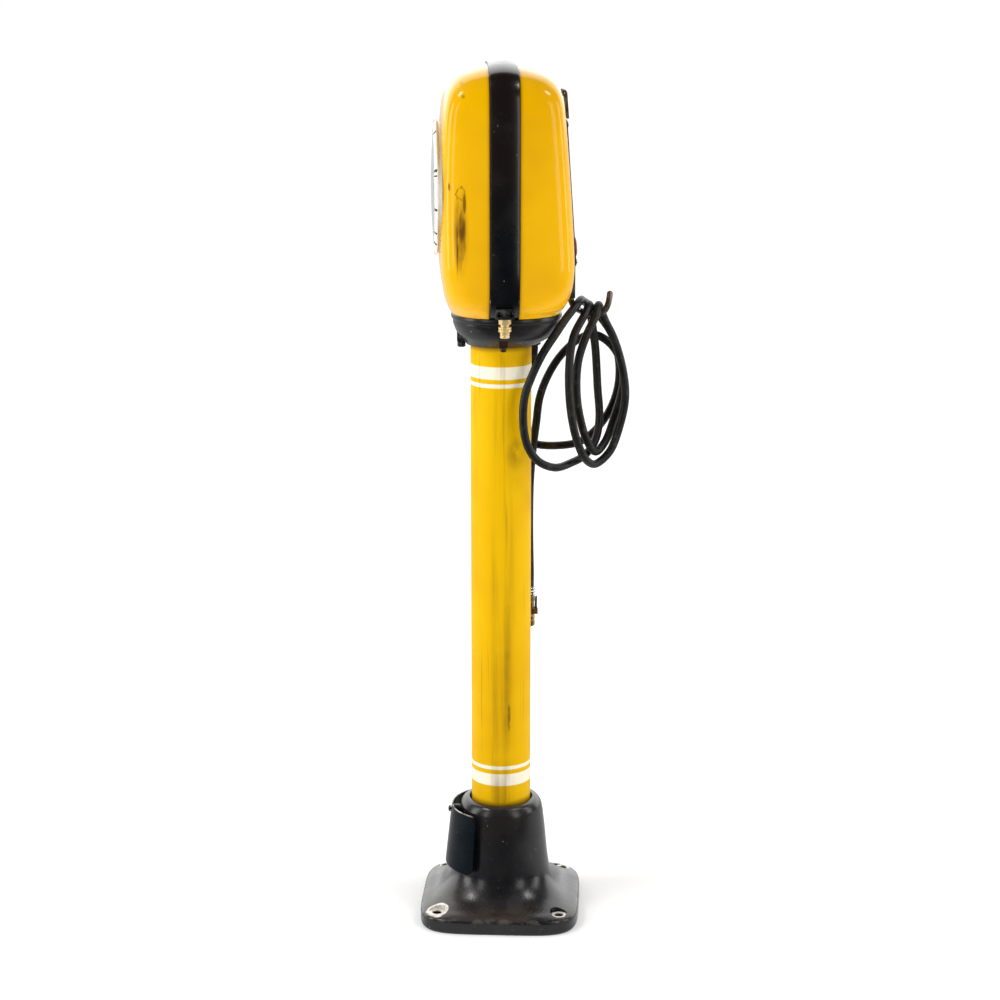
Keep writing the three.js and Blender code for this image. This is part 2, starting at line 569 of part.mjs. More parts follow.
// Gear outline: straight-sided teeth with running clearance, toothed from first to last angle.
function gearShape(teeth, first, last, hub) {
  const pitchR = (GEAR_MODULE * teeth) / 2;
  const tip = pitchR + GEAR_MODULE * 0.72;
  const root = pitchR - GEAR_MODULE * 1.1;
  const step = (2 * Math.PI) / teeth;
  const shape = new THREE.Shape();
  const corner = (r, a) => [r * Math.cos(a), r * Math.sin(a)];
  const points = [];
  const count = Math.round((last - first) / step);
  for (let i = 0; i < count; i++) {
    const middle = first + (i + 0.5) * step;
    points.push(
      corner(root, middle - 0.3 * step), corner(tip, middle - 0.1 * step),
      corner(tip, middle + 0.1 * step), corner(root, middle + 0.3 * step));
  }
  if (hub) points.push(...hub);
  points.forEach(([x, y], i) => (i ? shape.lineTo(x, y) : shape.moveTo(x, y)));
  return shape;
}

const GEAR_LOW = -16;
const GEAR_T = 3;
const ARBOR_R = 1.3;
const SECTOR_TEETH = PINION_TEETH * GEAR_RATIO;
const SECTOR_DROP = (GEAR_MODULE * (PINION_TEETH + SECTOR_TEETH)) / 2;
const SECTOR_PIN_R = 1.5;
const toothStep = (2 * Math.PI) / SECTOR_TEETH;
const extrudeFlat = (shape, low, depth) =>
  new THREE.ExtrudeGeometry(shape, { depth, bevelEnabled: false, curveSegments: 6 })
    .translate(0, 0, low);

// At rest the sector's last teeth are in mesh, straight above its pivot.
const sectorFirst = Math.PI / 2 - 11.5 * toothStep;
const sectorLast = sectorFirst + 14 * toothStep;
const heel = [[-6, 4], [-6, -4], [0, -7], [6, -5], [9, 1]];
const sector = cut(
  solid(extrudeFlat(gearShape(SECTOR_TEETH, sectorFirst, sectorLast, heel), GEAR_LOW, GEAR_T)),
  solid(rod(SECTOR_PIN_R + 0.08, at(0, 0, -30), at(0, 0, 10), 14)),
);
const sectorSide = group(dialSide, 0, -SECTOR_DROP, 0);
put(sectorSide, "sector_gear", sector, BRASS);
put(sectorSide, "sector_pin",
  turned([[0, -17.5], [SECTOR_PIN_R, -17.5], [SECTOR_PIN_R, -11.4], [2.6, -11.4], [2.6, -10.4],
    [0, -10.4]], 12), STEEL);
const pinion = extrudeFlat(
  gearShape(PINION_TEETH, -Math.PI / 2, Math.PI * 1.5, null), GEAR_LOW, GEAR_T);
put(dialSide, "pointer_arbor", join(
  solid(pinion),
  solid(rod(ARBOR_R, at(0, 0, -18.6), at(0, 0, 6.4), 12)),
), BRASS);
const movementPlate = cut(
  solid(roundedPlate(24, 34, 6, -20.5, -18.7).translate(0, -14, 0)),
  solid(rod(ARBOR_R + 0.1, at(0, 0, -30), at(0, 0, 0), 12)),
);
put(dialSide, "movement_plate", cut(movementPlate,
  solid(rod(SECTOR_PIN_R + 0.1, at(0, -SECTOR_DROP, -30), at(0, -SECTOR_DROP, 0), 12))), BRASS);

const needleTilt = Math.PI * 0.75; // from straight up, anticlockwise: the zero mark
const needle = new THREE.Shape([
  [-4, 0], [-2.2, -18], [2.2, -18], [4, 0], [1.2, 70], [0, 73], [-1.2, 70],
].map(([x, y]) => new THREE.Vector2(x, y)));
const needleSolid = cut(
  join(
    solid(extrudeFlat(needle, 3.1, 0.9)),
    solid(rod(6.5, at(0, 0, 2.9), at(0, 0, 5.4), 20)),
  ),
  solid(rod(ARBOR_R + 0.08, at(0, 0, 0), at(0, 0, 10), 12)),
);
put(dialSide, "gauge_needle", geometryOf(needleSolid).rotateZ(needleTilt), INK);

// ---------------------------------------------------------------- panel pieces
put(panelSide, "rear_panel", cut(solid(panelPlate(0, 0)),
  solid(rod(BUTTON_R + GAP, at(0, -10, BUTTON_DROP), at(0, 10, BUTTON_DROP), 24)),
  ...panelHoles.map(solid)), INK);
PANEL_SCREWS.forEach(([x, z], i) => {
  const seat = group(panelSide, x, PANEL_T / 2 + GAP, z, -Math.PI / 2);
  put(seat, `rear_panel_screw_${i + 1}`, screw(4, 2.4, 2, 9), STEEL);
});
const buttonSide = group(panelSide, 0, 0, BUTTON_DROP, -Math.PI / 2);
put(buttonSide, "button_collar",
  ring(COLLAR_R, BUTTON_R + GAP, PANEL_T / 2 + GAP, PANEL_T / 2 + 3, 24), CHROME);
put(buttonSide, "air_button", turned([
  [0, -34], [STEM_R, -34], [STEM_R, -4], [BUTTON_R, -4], [BUTTON_R, 5.2], [12.6, 6.6],
  [7, 7.2], [0, 7.4],
], 24), RED);
const valveBlock = cut(
  solid(bar(at(-22, -16, -52), at(22, 16, BLOCK_FACE))),
  solid(rod(STEM_R + GAP, at(0, 0, -42), at(0, 0, -20), 14)),
);
put(buttonSide, "valve_block", valveBlock, BRASS);

// The button's return spring, a round wire wound round the stem.
class Coil extends THREE.Curve {
  constructor(radius, low, high, turns) {
    super();
    Object.assign(this, { radius, low, high, turns });
  }
  getPoint(t, target = new THREE.Vector3()) {
    const a = 2 * Math.PI * this.turns * t;
    return target.set(
      this.radius * Math.cos(a), this.radius * Math.sin(a),
      THREE.MathUtils.lerp(this.low, this.high, t));
  }
}
put(buttonSide, "valve_spring", tubeAlong(new Coil(6, BLOCK_FACE + 1.3, -12, 4), 0.8, 36, 2), STEEL);

// ---------------------------------------------------------------- release lever
// Its origin is the lever's pin; the profile is listed as [outward, up].
const leverSide = group(part, 0, LEVER_Y, LEVER_Z);
const leverProfile = new THREE.Shape([
  [-1.5, 4.6], [3.2, 5.2], [5.8, 1.5], [8.6, -35], [5.6, -36], [2.6, -6],
].map(([y, z]) => new THREE.Vector2(y, z)));
const leverPlate = new THREE.ExtrudeGeometry(leverProfile, {
  depth: 2 * LEVER_HALF_W, bevelEnabled: false,
})
  .applyMatrix4(new THREE.Matrix4().makeBasis(at(0, 1, 0), at(0, 0, 1), at(1, 0, 0)))
  .translate(-LEVER_HALF_W, 0, 0);
put(leverSide, "release_lever", cut(
  join(solid(leverPlate), solid(alongX(KNUCKLE_R, LEVER_HALF_W))),
  solid(alongX(KNUCKLE_R + 0.5, EAR_HALF_W + 0.6)),
  solid(bar(at(-EAR_HALF_W - 0.6, -8, -8), at(EAR_HALF_W + 0.6, 0, 8))),
  solid(alongX(LEVER_PIN_R + 0.08, 30)),
), STEEL);
put(leverSide, "lever_pin", alongX(LEVER_PIN_R, LEVER_HALF_W + 1.2), CHROME);
put(leverSide, "lever_bracket", cut(
  join(solid(alongX(KNUCKLE_R, EAR_HALF_W)), solid(leverFoot(0))),
  solid(alongX(LEVER_PIN_R + 0.1, 30)),
), STEEL);

// ---------------------------------------------------------------- hose hook and its housing
const HOOK_SHANK = at(0, 101.2, 950);
const hookShank = (radius) => solid(rod(radius, at(0, HOOK_SHANK.y, 941.2), HOOK_SHANK, 12));
const housing = cut(
  solid(bar(at(-26, 60, 942), at(26, 105.5, 990.5))),
  solid(headSkin(-GAP, HEAD_LEVELS, HEAD_SIDES)),
  hookShank(2.9),
);
put(part, "hook_housing", largest(housing), CAST_BLACK);
const hookCurve = smooth([
  [0, 101.2, 941.4], [0, 102, 934], [0, 107, 925.5], [0, 118, 918.5], [0, 130, 914.5],
  [0, 141, 914], [0, 150, 919], [0, 156, 931], [0, 158.5, 949],
]);
put(part, "hose_hook", join(solid(tubeAlong(hookCurve, HOOK_R, 18, 4)), hookShank(2.5)), STEEL);

// ---------------------------------------------------------------- hose
// From the gland it drops behind the column, makes three turns over the hook and hangs down again.
const CHUCK = at(-29.5, 45.2, 0);
const FERRULE = [484, 500];
const hoseCurve = smooth([
  [GLAND.x, GLAND.y, GLAND_SEAT - 1.4], [GLAND.x, GLAND.y, 867], [GLAND.x, GLAND.y, 859],
  [-38, 47, 832], [-52, 34, 790], [-60, 20, 750],
  [-62, 26, 724], [-54, 52, 712], [-40, 90, 712],
  [-34, 122, 720], [-34, 152, 748], [-35, 172, 788], [-37, 177, 830], [-36, 167, 875],
  [-34, 148, 905], [-28, 130, 924], [-15, 120, 932.5], [0, 116, 935.8],
  [14, 109, 931], [30, 92.5, 914], [44, 76, 893], [53, 57, 866], [58, 41, 834], [60, 31, 805],
  [60, 29, 766], [58, 36, 731], [52, 52, 708], [40, 77, 696], [22, 102, 699], [4, 124, 707],
  [-10, 140, 726], [-16, 146, 756], [-17, 143, 805], [-15, 139, 863], [-14, 134, 898],
  [-12, 131, 917.5], [0, 128, 929.2],
  [13.5, 122.5, 920], [34, 103, 888], [44, 96, 845], [47, 98, 785], [42, 108, 737], [30, 122, 706],
  [14, 138, 695], [3, 160, 711], [-3, 175, 748], [-5, 183, 792], [-5, 178, 835],
  [-7, 166, 876], [-14, 153, 903], [-12.5, 145.5, 921], [0, 141.5, 928],
  [13, 137, 916], [26, 121, 885], [31, 110, 850], [33, 108, 805], [30, 114, 765],
  [22, 125, 731], [8, 139, 712], [-8, 155, 725], [-18, 168, 757], [-20, 180, 800],
  [-21, 181, 826], [-22, 171, 855], [-25, 156, 872], [-30, 138, 880], [-38, 118, 873],
  [-46, 92, 848], [-48, 73, 818], [-44, 60, 785], [-36, 54, 746], [-31, 49, 710],
  [-30.5, 45, 660], [-30, 44, 600], [-29.5, 44.5, 555], [CHUCK.x, CHUCK.y, 522],
  [CHUCK.x, CHUCK.y, 505],
  [CHUCK.x, CHUCK.y, FERRULE[0] + 2.2],
]);
put(part, "inflation_hose", tubeAlong(hoseCurve, HOSE_R, 136, 3), RUBBER);

const chuckSide = group(part, CHUCK.x, CHUCK.y, 0);
put(chuckSide, "hose_ferrule", ring(7.8, HOSE_R + 2 * GAP, ...FERRULE, 16), BRASS);
const chuckEars = join(
  solid(bar(at(-6, 4, 456), at(-3.2, 11.5, 465))), solid(bar(at(3.2, 4, 456), at(6, 11.5, 465))));
const CHUCK_PIN_R = 1.2;
const CHUCK_PIN = at(0, 9, 460.5);
const chuckPin = (radius, halfLength) =>
  alongX(radius, halfLength).translate(0, CHUCK_PIN.y, CHUCK_PIN.z);
put(chuckSide, "chuck_body", cut(join(
  solid(turned([
    [0, 443], [4.4, 443], [4.4, 437], [6.6, 437], [7.4, 439], [7.4, 452], [6.2, 455],
    [6.2, 474], [7.2, 476], [7.2, FERRULE[0] - GAP], [0, FERRULE[0] - GAP],
  ], 14)), chuckEars), solid(chuckPin(CHUCK_PIN_R + 0.1, 20))), BRASS);
put(chuckSide, "chuck_seal", ring(4.1, 1.8, 435.8, 442.6, 14), RUBBER);
put(chuckSide, "chuck_lever_pin", chuckPin(CHUCK_PIN_R, 7), CHROME);
const clipProfile = new THREE.Shape([
  [-2.4, 2.4], [-1.2, 22], [0.6, 24], [1.6, 22], [1.4, 3], [2.4, 0], [1, -2.4], [-1.4, -2.4],
].map(([y, z]) => new THREE.Vector2(y, z)));
const clip = new THREE.ExtrudeGeometry(clipProfile, { depth: 5.6, bevelEnabled: false })
  .applyMatrix4(new THREE.Matrix4().makeBasis(at(0, 1, 0), at(0, 0, 1), at(1, 0, 0)))
  .translate(-2.8, CHUCK_PIN.y, CHUCK_PIN.z);
put(chuckSide, "chuck_lever", cut(solid(clip), solid(chuckPin(CHUCK_PIN_R + 0.07, 20))), CHROME);

export default part;
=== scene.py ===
"""Looks of a free-standing tyre inflator tower, built round its CAD frame.

Design values are millimetres in the CAD frame: +Z up, the dial faces -Y, the hose +Y and
the brass coupler +X. Material code works in metres, because texture coordinates do.
"""

import json
import math

import bmesh
import bpy
from mathutils import Matrix, Vector


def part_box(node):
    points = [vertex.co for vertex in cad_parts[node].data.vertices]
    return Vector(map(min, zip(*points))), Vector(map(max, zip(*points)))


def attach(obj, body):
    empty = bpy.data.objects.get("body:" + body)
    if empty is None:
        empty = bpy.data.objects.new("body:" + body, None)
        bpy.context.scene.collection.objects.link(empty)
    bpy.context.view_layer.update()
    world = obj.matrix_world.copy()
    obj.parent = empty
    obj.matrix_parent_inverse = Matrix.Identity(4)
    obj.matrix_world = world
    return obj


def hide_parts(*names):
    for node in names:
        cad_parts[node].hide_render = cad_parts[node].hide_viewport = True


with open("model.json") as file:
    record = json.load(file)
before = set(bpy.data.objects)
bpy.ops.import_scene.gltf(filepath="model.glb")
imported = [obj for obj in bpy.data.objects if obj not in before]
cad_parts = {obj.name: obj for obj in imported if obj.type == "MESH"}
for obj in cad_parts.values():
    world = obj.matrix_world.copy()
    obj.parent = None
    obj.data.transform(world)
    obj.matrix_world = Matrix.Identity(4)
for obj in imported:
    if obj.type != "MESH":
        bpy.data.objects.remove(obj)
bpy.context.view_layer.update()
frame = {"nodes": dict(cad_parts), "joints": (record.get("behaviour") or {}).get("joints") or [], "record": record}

MM = 0.001
TURN = 2 * math.pi
GAP = 0.3  # between pieces that rest on or pass through each other
WELD_M = 1e-6
NEARLY_STRAIGHT = math.radians(172)  # a corner flatter than this isn't eased
SLOT_OF = {row["node"]: row["material_slot"] for row in frame["record"]["subparts"]}
BODY_OF = {
    node: body
    for body, members in frame["record"]["behaviour"]["bodies"].items()
    for node in members
}
JOINTS = {joint["name"]: joint for joint in frame["joints"]}


def box(node):
    low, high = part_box(node)
    return low / MM, high / MM


def centre(node):
    low, high = box(node)
    return (low + high) / 2


def joint_place(name):
    return Vector(JOINTS[name]["pos_m"]) / MM


def axis_span(node, direction):
    """For a round CAD node: a point on its axis, and how far it starts and ends along the direction."""
    corners = [vertex.co / MM for vertex in frame["nodes"][node].data.vertices]
    along = [corner @ direction for corner in corners]
    middle = sum(corners, Vector()) / len(corners)
    return middle - direction * (middle @ direction), min(along), max(along)

# ---- meshes


def linked(name, data):
    made = bpy.data.objects.new(name, data)
    bpy.context.scene.collection.objects.link(made)
    return made


def solid(points, faces, place=None):
    """A mesh object from points in millimetres, optionally placed by a matrix in millimetres."""
    place = place or Matrix.Identity(4)
    mesh = bpy.data.meshes.new("piece")
    mesh.from_pydata([(place @ Vector(p)) * MM for p in points], [], faces)
    work = bmesh.new()
    work.from_mesh(mesh)
    bmesh.ops.remove_doubles(work, verts=work.verts, dist=WELD_M)
    bmesh.ops.recalc_face_normals(work, faces=work.faces)
    work.to_mesh(mesh)
    work.free()
    return linked("piece", mesh)


def skin(rings, place=None, looped=False):
    """A surface over rings of points, capped at both ends or looped from last to first."""
    count = len(rings[0])
    total = count * len(rings)
    faces = []
    for start in range(0, total if looped else total - count, count):
        above = (start + count) % total
        for i in range(count):
            j = (i + 1) % count
            faces.append((start + i, start + j, above + j, above + i))
    if not looped:
        faces += [tuple(range(count)), tuple(range(total - count, total))]
    return solid([p for ring in rings for p in ring], faces, place)


def eased(points, radius, steps=4, closed=True):
    """The outline with every corner turned into a small curve that reaches radius along each side."""
    points = [Vector(p) for p in points]
    out = []
    last = len(points) - 1
    for i, corner in enumerate(points):
        before = points[i - 1] - corner
        after = points[(i + 1) % len(points)] - corner
        straight = before.length > 0 and after.length > 0 and before.angle(after) > NEARLY_STRAIGHT
        if straight or (not closed and i in (0, last)):
            out.append(corner)
            continue
        reach = min(radius, 0.45 * before.length, 0.45 * after.length)
        start = corner + before.normalized() * reach
        end = corner + after.normalized() * reach
        for k in range(steps + 1):
            t = k / steps
            out.append(start * (1 - t) ** 2 + corner * 2 * t * (1 - t) + end * t * t)
    return out


def turned(profile, place=None, sides=72, ease=0.4, on_axis=True):
    """A body of revolution about local Z. The profile runs from axis to axis, or is closed."""
    turns = [TURN * i / sides for i in range(sides)]
    rings = [
        [(r * math.cos(a), r * math.sin(a), z) for a in turns]
        for r, z in eased(profile, ease, closed=not on_axis)
    ]
    return skin(rings, place, looped=not on_axis)


def plug(radius, low, high, place, sides=96, ease=0.0):
    """A plain round bar along local Z."""
    return turned([(0, low), (radius, low), (radius, high), (0, high)], place, sides, ease)


def facing(start, direction):
    """The matrix whose local Z axis starts at a point and runs in a direction."""
    return Matrix.Translation(start) @ direction.to_track_quat("Z", "Y").to_matrix().to_4x4()


def rod(radius, start, end, sides=48):
    """A plain round bar between two points."""
    start, end = Vector(start), Vector(end)
    return plug(radius, 0, (end - start).length, facing(start, end - start), sides)


def prism(outline, low, high, place=None):
    """The outline, in the local XY plane, pushed from z = low to z = high."""
    return skin([[(x, y, z) for x, y in outline] for z in (low, high)], place)


def block(low, high, place=None):
    outline = [(low[0], low[1]), (high[0], low[1]), (high[0], high[1]), (low[0], high[1])]
    return prism(outline, low[2], high[2], place)


def rounded_outline(half_w, half_h, corner, steps=10):
    corners = [(1, 1, 0), (-1, 1, 1), (-1, -1, 2), (1, -1, 3)]
    return [
        (
            sx * (half_w - corner) + corner * math.cos(TURN / 4 * (quarter + k / steps)),
            sy * (half_h - corner) + corner * math.sin(TURN / 4 * (quarter + k / steps)),
        )
        for sx, sy, quarter in corners
        for k in range(steps + 1)
    ]


def spline(points, steps):
    """Centripetal Catmull-Rom through points of any dimension, both ends included."""
    points = [Vector(p) for p in points]
    padded = [points[0] * 2 - points[1], *points, points[-1] * 2 - points[-2]]
    out = []
    for i in range(1, len(padded) - 2):
        a, b, c, d = padded[i - 1 : i + 3]
        ab, bc, cd = ((q - p).length ** 0.5 for p, q in ((a, b), (b, c), (c, d)))
        leave = ((b - a) / ab - (c - a) / (ab + bc) + (c - b) / bc) * bc
        arrive = ((c - b) / bc - (d - b) / (bc + cd) + (d - c) / cd) * bc
        for k in range(steps):
            t = k / steps
            out.append(
                b * (2 * t**3 - 3 * t**2 + 1)
                + leave * (t**3 - 2 * t**2 + t)
                + c * (3 * t**2 - 2 * t**3)
                + arrive * (t**3 - t**2)
            )
    return out + [points[-1]]


def even(path, spacing):
    """The path again, with its points about the same distance apart."""
    gone = [0.0]
    for a, b in zip(path, path[1:]):
        gone.append(gone[-1] + (b - a).length)
    count = max(2, round(gone[-1] / spacing))
    out, i = [], 0
    for k in range(count + 1):
        want = gone[-1] * k / count
        while i < len(path) - 2 and gone[i + 1] < want:
            i += 1
        share = (want - gone[i]) / (gone[i + 1] - gone[i])
        out.append(path[i].lerp(path[i + 1], min(share, 1.0)))
    return out


def tube(path, radius, sides, domed=False):
    """A round bar along a path of points. Its far end is flat or domed."""
    last = len(path) - 1
    directions = [
        (path[min(i + 1, last)] - path[max(i - 1, 0)]).normalized() for i in range(last + 1)
    ]
    side = directions[0].orthogonal().normalized()
    rings = []
    for point, direction in zip(path, directions):
        side = (side - direction * side.dot(direction)).normalized()
        if not domed or (point - path[-1]).length > radius:
            rings.append((point, radius, side, direction.cross(side)))
    if domed:
        _, _, u, v = rings[-1]
        inner = path[-1] - directions[-1] * radius
        for k in range(1, 5):
            a = TURN / 4 * k / 5
            tip = inner + directions[-1] * radius * math.sin(a)
            rings.append((tip, radius * math.cos(a), u, v))
    turns = [TURN * i / sides for i in range(sides)]
    return skin([
        [p + (u * math.cos(a) + v * math.sin(a)) * r for a in turns] for p, r, u, v in rings
    ])


def axes(origin, x, y, z):
    """The matrix whose local X, Y and Z axes are these directions."""
    turn = Matrix((Vector(x), Vector(y), Vector(z))).transposed().to_4x4()
    return Matrix.Translation(origin) @ turn


def upright(at, z=0.0):
    """The matrix whose local Z axis stands upright through a point."""
    return Matrix.Translation((at.x, at.y, z))


def crosswise(at):
    """The matrix whose local Z axis is the line along X through a point."""
    return axes((0, at.y, at.z), (0, 1, 0), (0, 0, 1), (1, 0, 0))


def bake(made):
    """Turns an object's modifiers into its mesh."""
    graph = bpy.context.evaluated_depsgraph_get()
    made.data = bpy.data.meshes.new_from_object(made.evaluated_get(graph))
    made.modifiers.clear()
    return made


def carve(made, tools, operation="DIFFERENCE"):
    for tool in tools:
        step = made.modifiers.new("carve", "BOOLEAN")
        step.operation = operation
        step.solver = "EXACT"
        step.object = tool
    bake(made)
    for tool in tools:
        bpy.data.objects.remove(tool)
    return made


def joined(name, parts):
    """One object from several, without a boolean."""
    work = bmesh.new()
    for part in parts:
        work.from_mesh(part.data)
        bpy.data.objects.remove(part)
    mesh = bpy.data.meshes.new(name)
    work.to_mesh(mesh)
    work.free()
    return linked(name, mesh)


def bevel(made, width, segments=3, angle=35):
    step = made.modifiers.new("edges", "BEVEL")
    step.limit_method = "ANGLE"
    step.angle_limit = math.radians(angle)
    step.width = width * MM
    step.segments = segments
    step.use_clamp_overlap = True
    flats = made.modifiers.new("flats", "WEIGHTED_NORMAL")
    flats.keep_sharp = True
    return made


def smooth(made, angle=35):
    made.data.shade_smooth()
    made.data.set_sharp_from_angle(angle=math.radians(angle))
    return made


# ---- materials


class Nodes:
    """A node tree, with short calls for the nodes that repeat. Lengths are metres."""

    def __init__(self, tree):
        self.tree = tree

    def node(self, kind, inputs=None, **settings):
        made = self.tree.nodes.new(kind)
        for key, value in settings.items():
            setattr(made, key, value)
        for key, value in (inputs or {}).items():
            self.feed(made.inputs[key], value)
        return made

    def feed(self, socket, value):
        if isinstance(value, bpy.types.NodeSocket):
            self.tree.links.new(value, socket)
        elif isinstance(value, tuple) and len(value) == 3 and socket.type == "RGBA":
            socket.default_value = (*value, 1.0)
        else:
            socket.default_value = value

    def maths(self, operation, *values):
        inputs = dict(enumerate(values))
        return self.node("ShaderNodeMath", inputs, operation=operation).outputs[0]

    def times(self, *values):
        product = values[0]
        for value in values[1:]:
            product = self.maths("MULTIPLY", product, value)
        return product

    def either(self, *values):
        most = values[0]
        for value in values[1:]:
            most = self.maths("MAXIMUM", most, value)
        return most

    def fade(self, value, start, end, low=0.0, high=1.0):
        """low before start and high after end, smooth between them."""
        inputs = {0: value, 1: start, 2: end, 3: low, 4: high}
        return self.node("ShaderNodeMapRange", inputs, interpolation_type="SMOOTHSTEP").outputs[0]


class Look(Nodes):
    """A material, and the masks and textures that it is mixed from."""

    def __init__(self, name):
        self.material = bpy.data.materials.new(name)
        self.material.use_nodes = True
        super().__init__(self.material.node_tree)
        self.surface = self.tree.nodes["Principled BSDF"]
        self.place = self.node("ShaderNodeTexCoord").outputs["Object"]
        self.x, self.y, self.z = self.node("ShaderNodeSeparateXYZ", {0: self.place}).outputs

    def linear(self, value, gain, base):
        return self.maths("MULTIPLY_ADD", value, gain, base)

    def vector(self, operation, *values):
        inputs = dict(enumerate(values))
        return self.node("ShaderNodeVectorMath", inputs, operation=operation).outputs

    def noise(self, scale, detail=3.0, stretch=None, shift=0.0):
        place = self.vector("MULTIPLY", self.place, stretch)[0] if stretch else self.place
        inputs = {"Vector": place, "Scale": scale, "Detail": detail}
        if not shift:
            return self.node("ShaderNodeTexNoise", inputs).outputs[0]
        inputs["W"] = shift
        return self.node("ShaderNodeTexNoise", inputs, noise_dimensions="4D").outputs[0]

    def patches(self, scale, start, end, detail=4.0, stretch=None):
        """Cloudy patches: 0 where a noise is at start, 1 where it is at end."""
        return self.fade(self.noise(scale, detail, stretch), start, end)

    def specks(self, scale, size, share, shift=0.0):
        """1 in small irregular specks. About share of the cells of this scale hold one."""
        place = self.vector("ADD", self.place, (shift, shift, shift))[0]
        cells = self.node("ShaderNodeTexVoronoi", {"Vector": place, "Scale": scale}).outputs
        pick = self.node("ShaderNodeSeparateColor", {0: cells["Color"]}).outputs[0]
        ragged = self.linear(self.noise(scale * 4, 2.0), 0.5, cells[0])
        inside = self.fade(ragged, size + 0.25, size + 0.17)
        return self.times(inside, self.fade(pick, share, share - 0.01))

    def mix(self, factor, a, b):
        return self.node("ShaderNodeMix", {0: factor, 6: a, 7: b}, data_type="RGBA").outputs[2]

    def over(self, under, paint, *masks):
        """The paint over a colour, as dense as the product of the masks."""
        return self.mix(self.times(*masks), under, paint)

    def distance(self, at, radii):
        """1 on the ellipsoid with this centre and these radii, 0 at its centre."""
        offset = self.vector("SUBTRACT", self.place, at)[0]
        scaled = self.vector("MULTIPLY", offset, tuple(1 / r for r in radii))[0]
        return self.vector("LENGTH", scaled)["Value"]

    def spot(self, at, radii, outer=1.3, inner=0.4):
        """1 in the middle of an ellipsoid, fading to 0 round it."""
        return self.fade(self.distance(at, radii), outer, inner)

    def edges(self, start=0.52, end=0.58):
        """1 on convex edges."""
        bend = self.node("ShaderNodeNewGeometry").outputs["Pointiness"]
        return self.fade(bend, start, end)

    def facing_up(self):
        normal = self.node("ShaderNodeNewGeometry").outputs["Normal"]
        return self.node("ShaderNodeSeparateXYZ", {0: normal}).outputs[2]

    def swap(self, factor, other):
        """Shows another shader where the factor is 1."""
        inputs = {0: factor, 1: self.surface.outputs[0], 2: other.outputs[0]}
        both = self.node("ShaderNodeMixShader", inputs)
        self.feed(self.tree.nodes["Material Output"].inputs[0], both.outputs[0])

    def finish(self, colour, roughness, metal=0.0, coat=0.0, shine=0.5, bumps=()):
        """Bumps are pairs of a height texture and the metres that its whole range stands for."""
        for key, value in {
            "Base Color": colour, "Roughness": roughness, "Metallic": metal,
            "Specular IOR Level": shine, "Coat Weight": coat, "Coat Roughness": COAT_ROUGHNESS,
        }.items():
            self.feed(self.surface.inputs[key], value)
        normal = None
        for height, depth in bumps:
            inputs = {"Height": height, "Distance": depth, "Strength": 1.0}
            if normal:
                inputs["Normal"] = normal
            normal = self.node("ShaderNodeBump", inputs).outputs[0]
        if normal:
            self.feed(self.surface.inputs["Normal"], normal)
        return self.material


COAT_ROUGHNESS = 0.09
GLASS_IOR = 1.46
GRAIN = 0.00004  # depth of tool marks in bare metal
FINE_GRAIN = 0.00001
YELLOW = (0.79, 0.420, 0.0002)
YELLOW_DEEP = (0.62, 0.300, 0.0002)
COLUMN_YELLOW = (0.77, 0.445, 0.0002)
# brown grime, also used for painted shade on the column
GRIME_AND_SHADE = (0.15, 0.075, 0.004)
# dark brown for burn marks, also used for painted shade beside the centre band
BURN_AND_SHADE = (0.075, 0.020, 0.003)
CREAM = (0.88, 0.82, 0.64)
BARE_METAL = (0.80, 0.77, 0.71)


def yellow_base(look, fresh=YELLOW):
    """Enamel that varies a little in depth, with fine dust specks."""
    colour = look.over(fresh, YELLOW_DEEP, look.patches(9.0, 0.35, 0.7, 2.0), 0.45)
    return look.over(colour, GRIME_AND_SHADE, look.specks(260.0, 0.12, 0.05, shift=3.0), 0.5)


def shell_marks(look):
    """Burn, scratches and knocks on the front shell's near side, as a darkness from 0 to 1."""
    grain = look.noise(120.0, 6.0, stretch=(1.0, 1.0, 0.22))
    streak = look.spot((0.105, -0.0612, 1.046), (1.0, 0.0105, 0.058), 1.2, 0.5)
    core = look.spot((0.105, -0.0600, 1.054), (1.0, 0.0066, 0.030))
    line = look.spot((0.105, -0.0665, 1.030), (1.0, 0.0016, 0.042))
    scorch = look.spot((0.105, -0.0565, 1.087), (1.0, 0.0026, 0.017), inner=0.5)
    burn = look.either(
        look.times(streak, look.fade(grain, 0.34, 0.60, 0.25), 0.8),
        look.times(core, look.fade(grain, 0.30, 0.50, 0.5)),
        look.times(line, look.fade(grain, 0.35, 0.50, 0.4)),
        look.times(scorch, 0.9),
    )
    wobble = look.times(look.noise(190.0), 1.3)
    leaf = look.distance((0.105, -0.0615, 1.101), (1.0, 0.0062, 0.0090))
    leaf = look.maths("SUBTRACT", look.maths("ADD", leaf, wobble), 1.60)
    scratch = look.fade(look.maths("ABSOLUTE", leaf), 0.17, 0.06, 0.0, 0.6)
    knocks = [
        look.times(look.spot((0.100, y, z), (1.0, wide, tall), 1.2), strength)
        for y, z, wide, tall, strength in (
            (-0.0775, 1.110, 0.0020, 0.006, 0.8),
            (-0.0575, 1.233, 0.0030, 0.003, 0.5),
            (-0.0595, 1.250, 0.0035, 0.003, 0.25),
        )
    ]
    near = look.fade(look.x, 0.05, 0.07)
    return look.times(near, look.either(burn, scratch, *knocks))


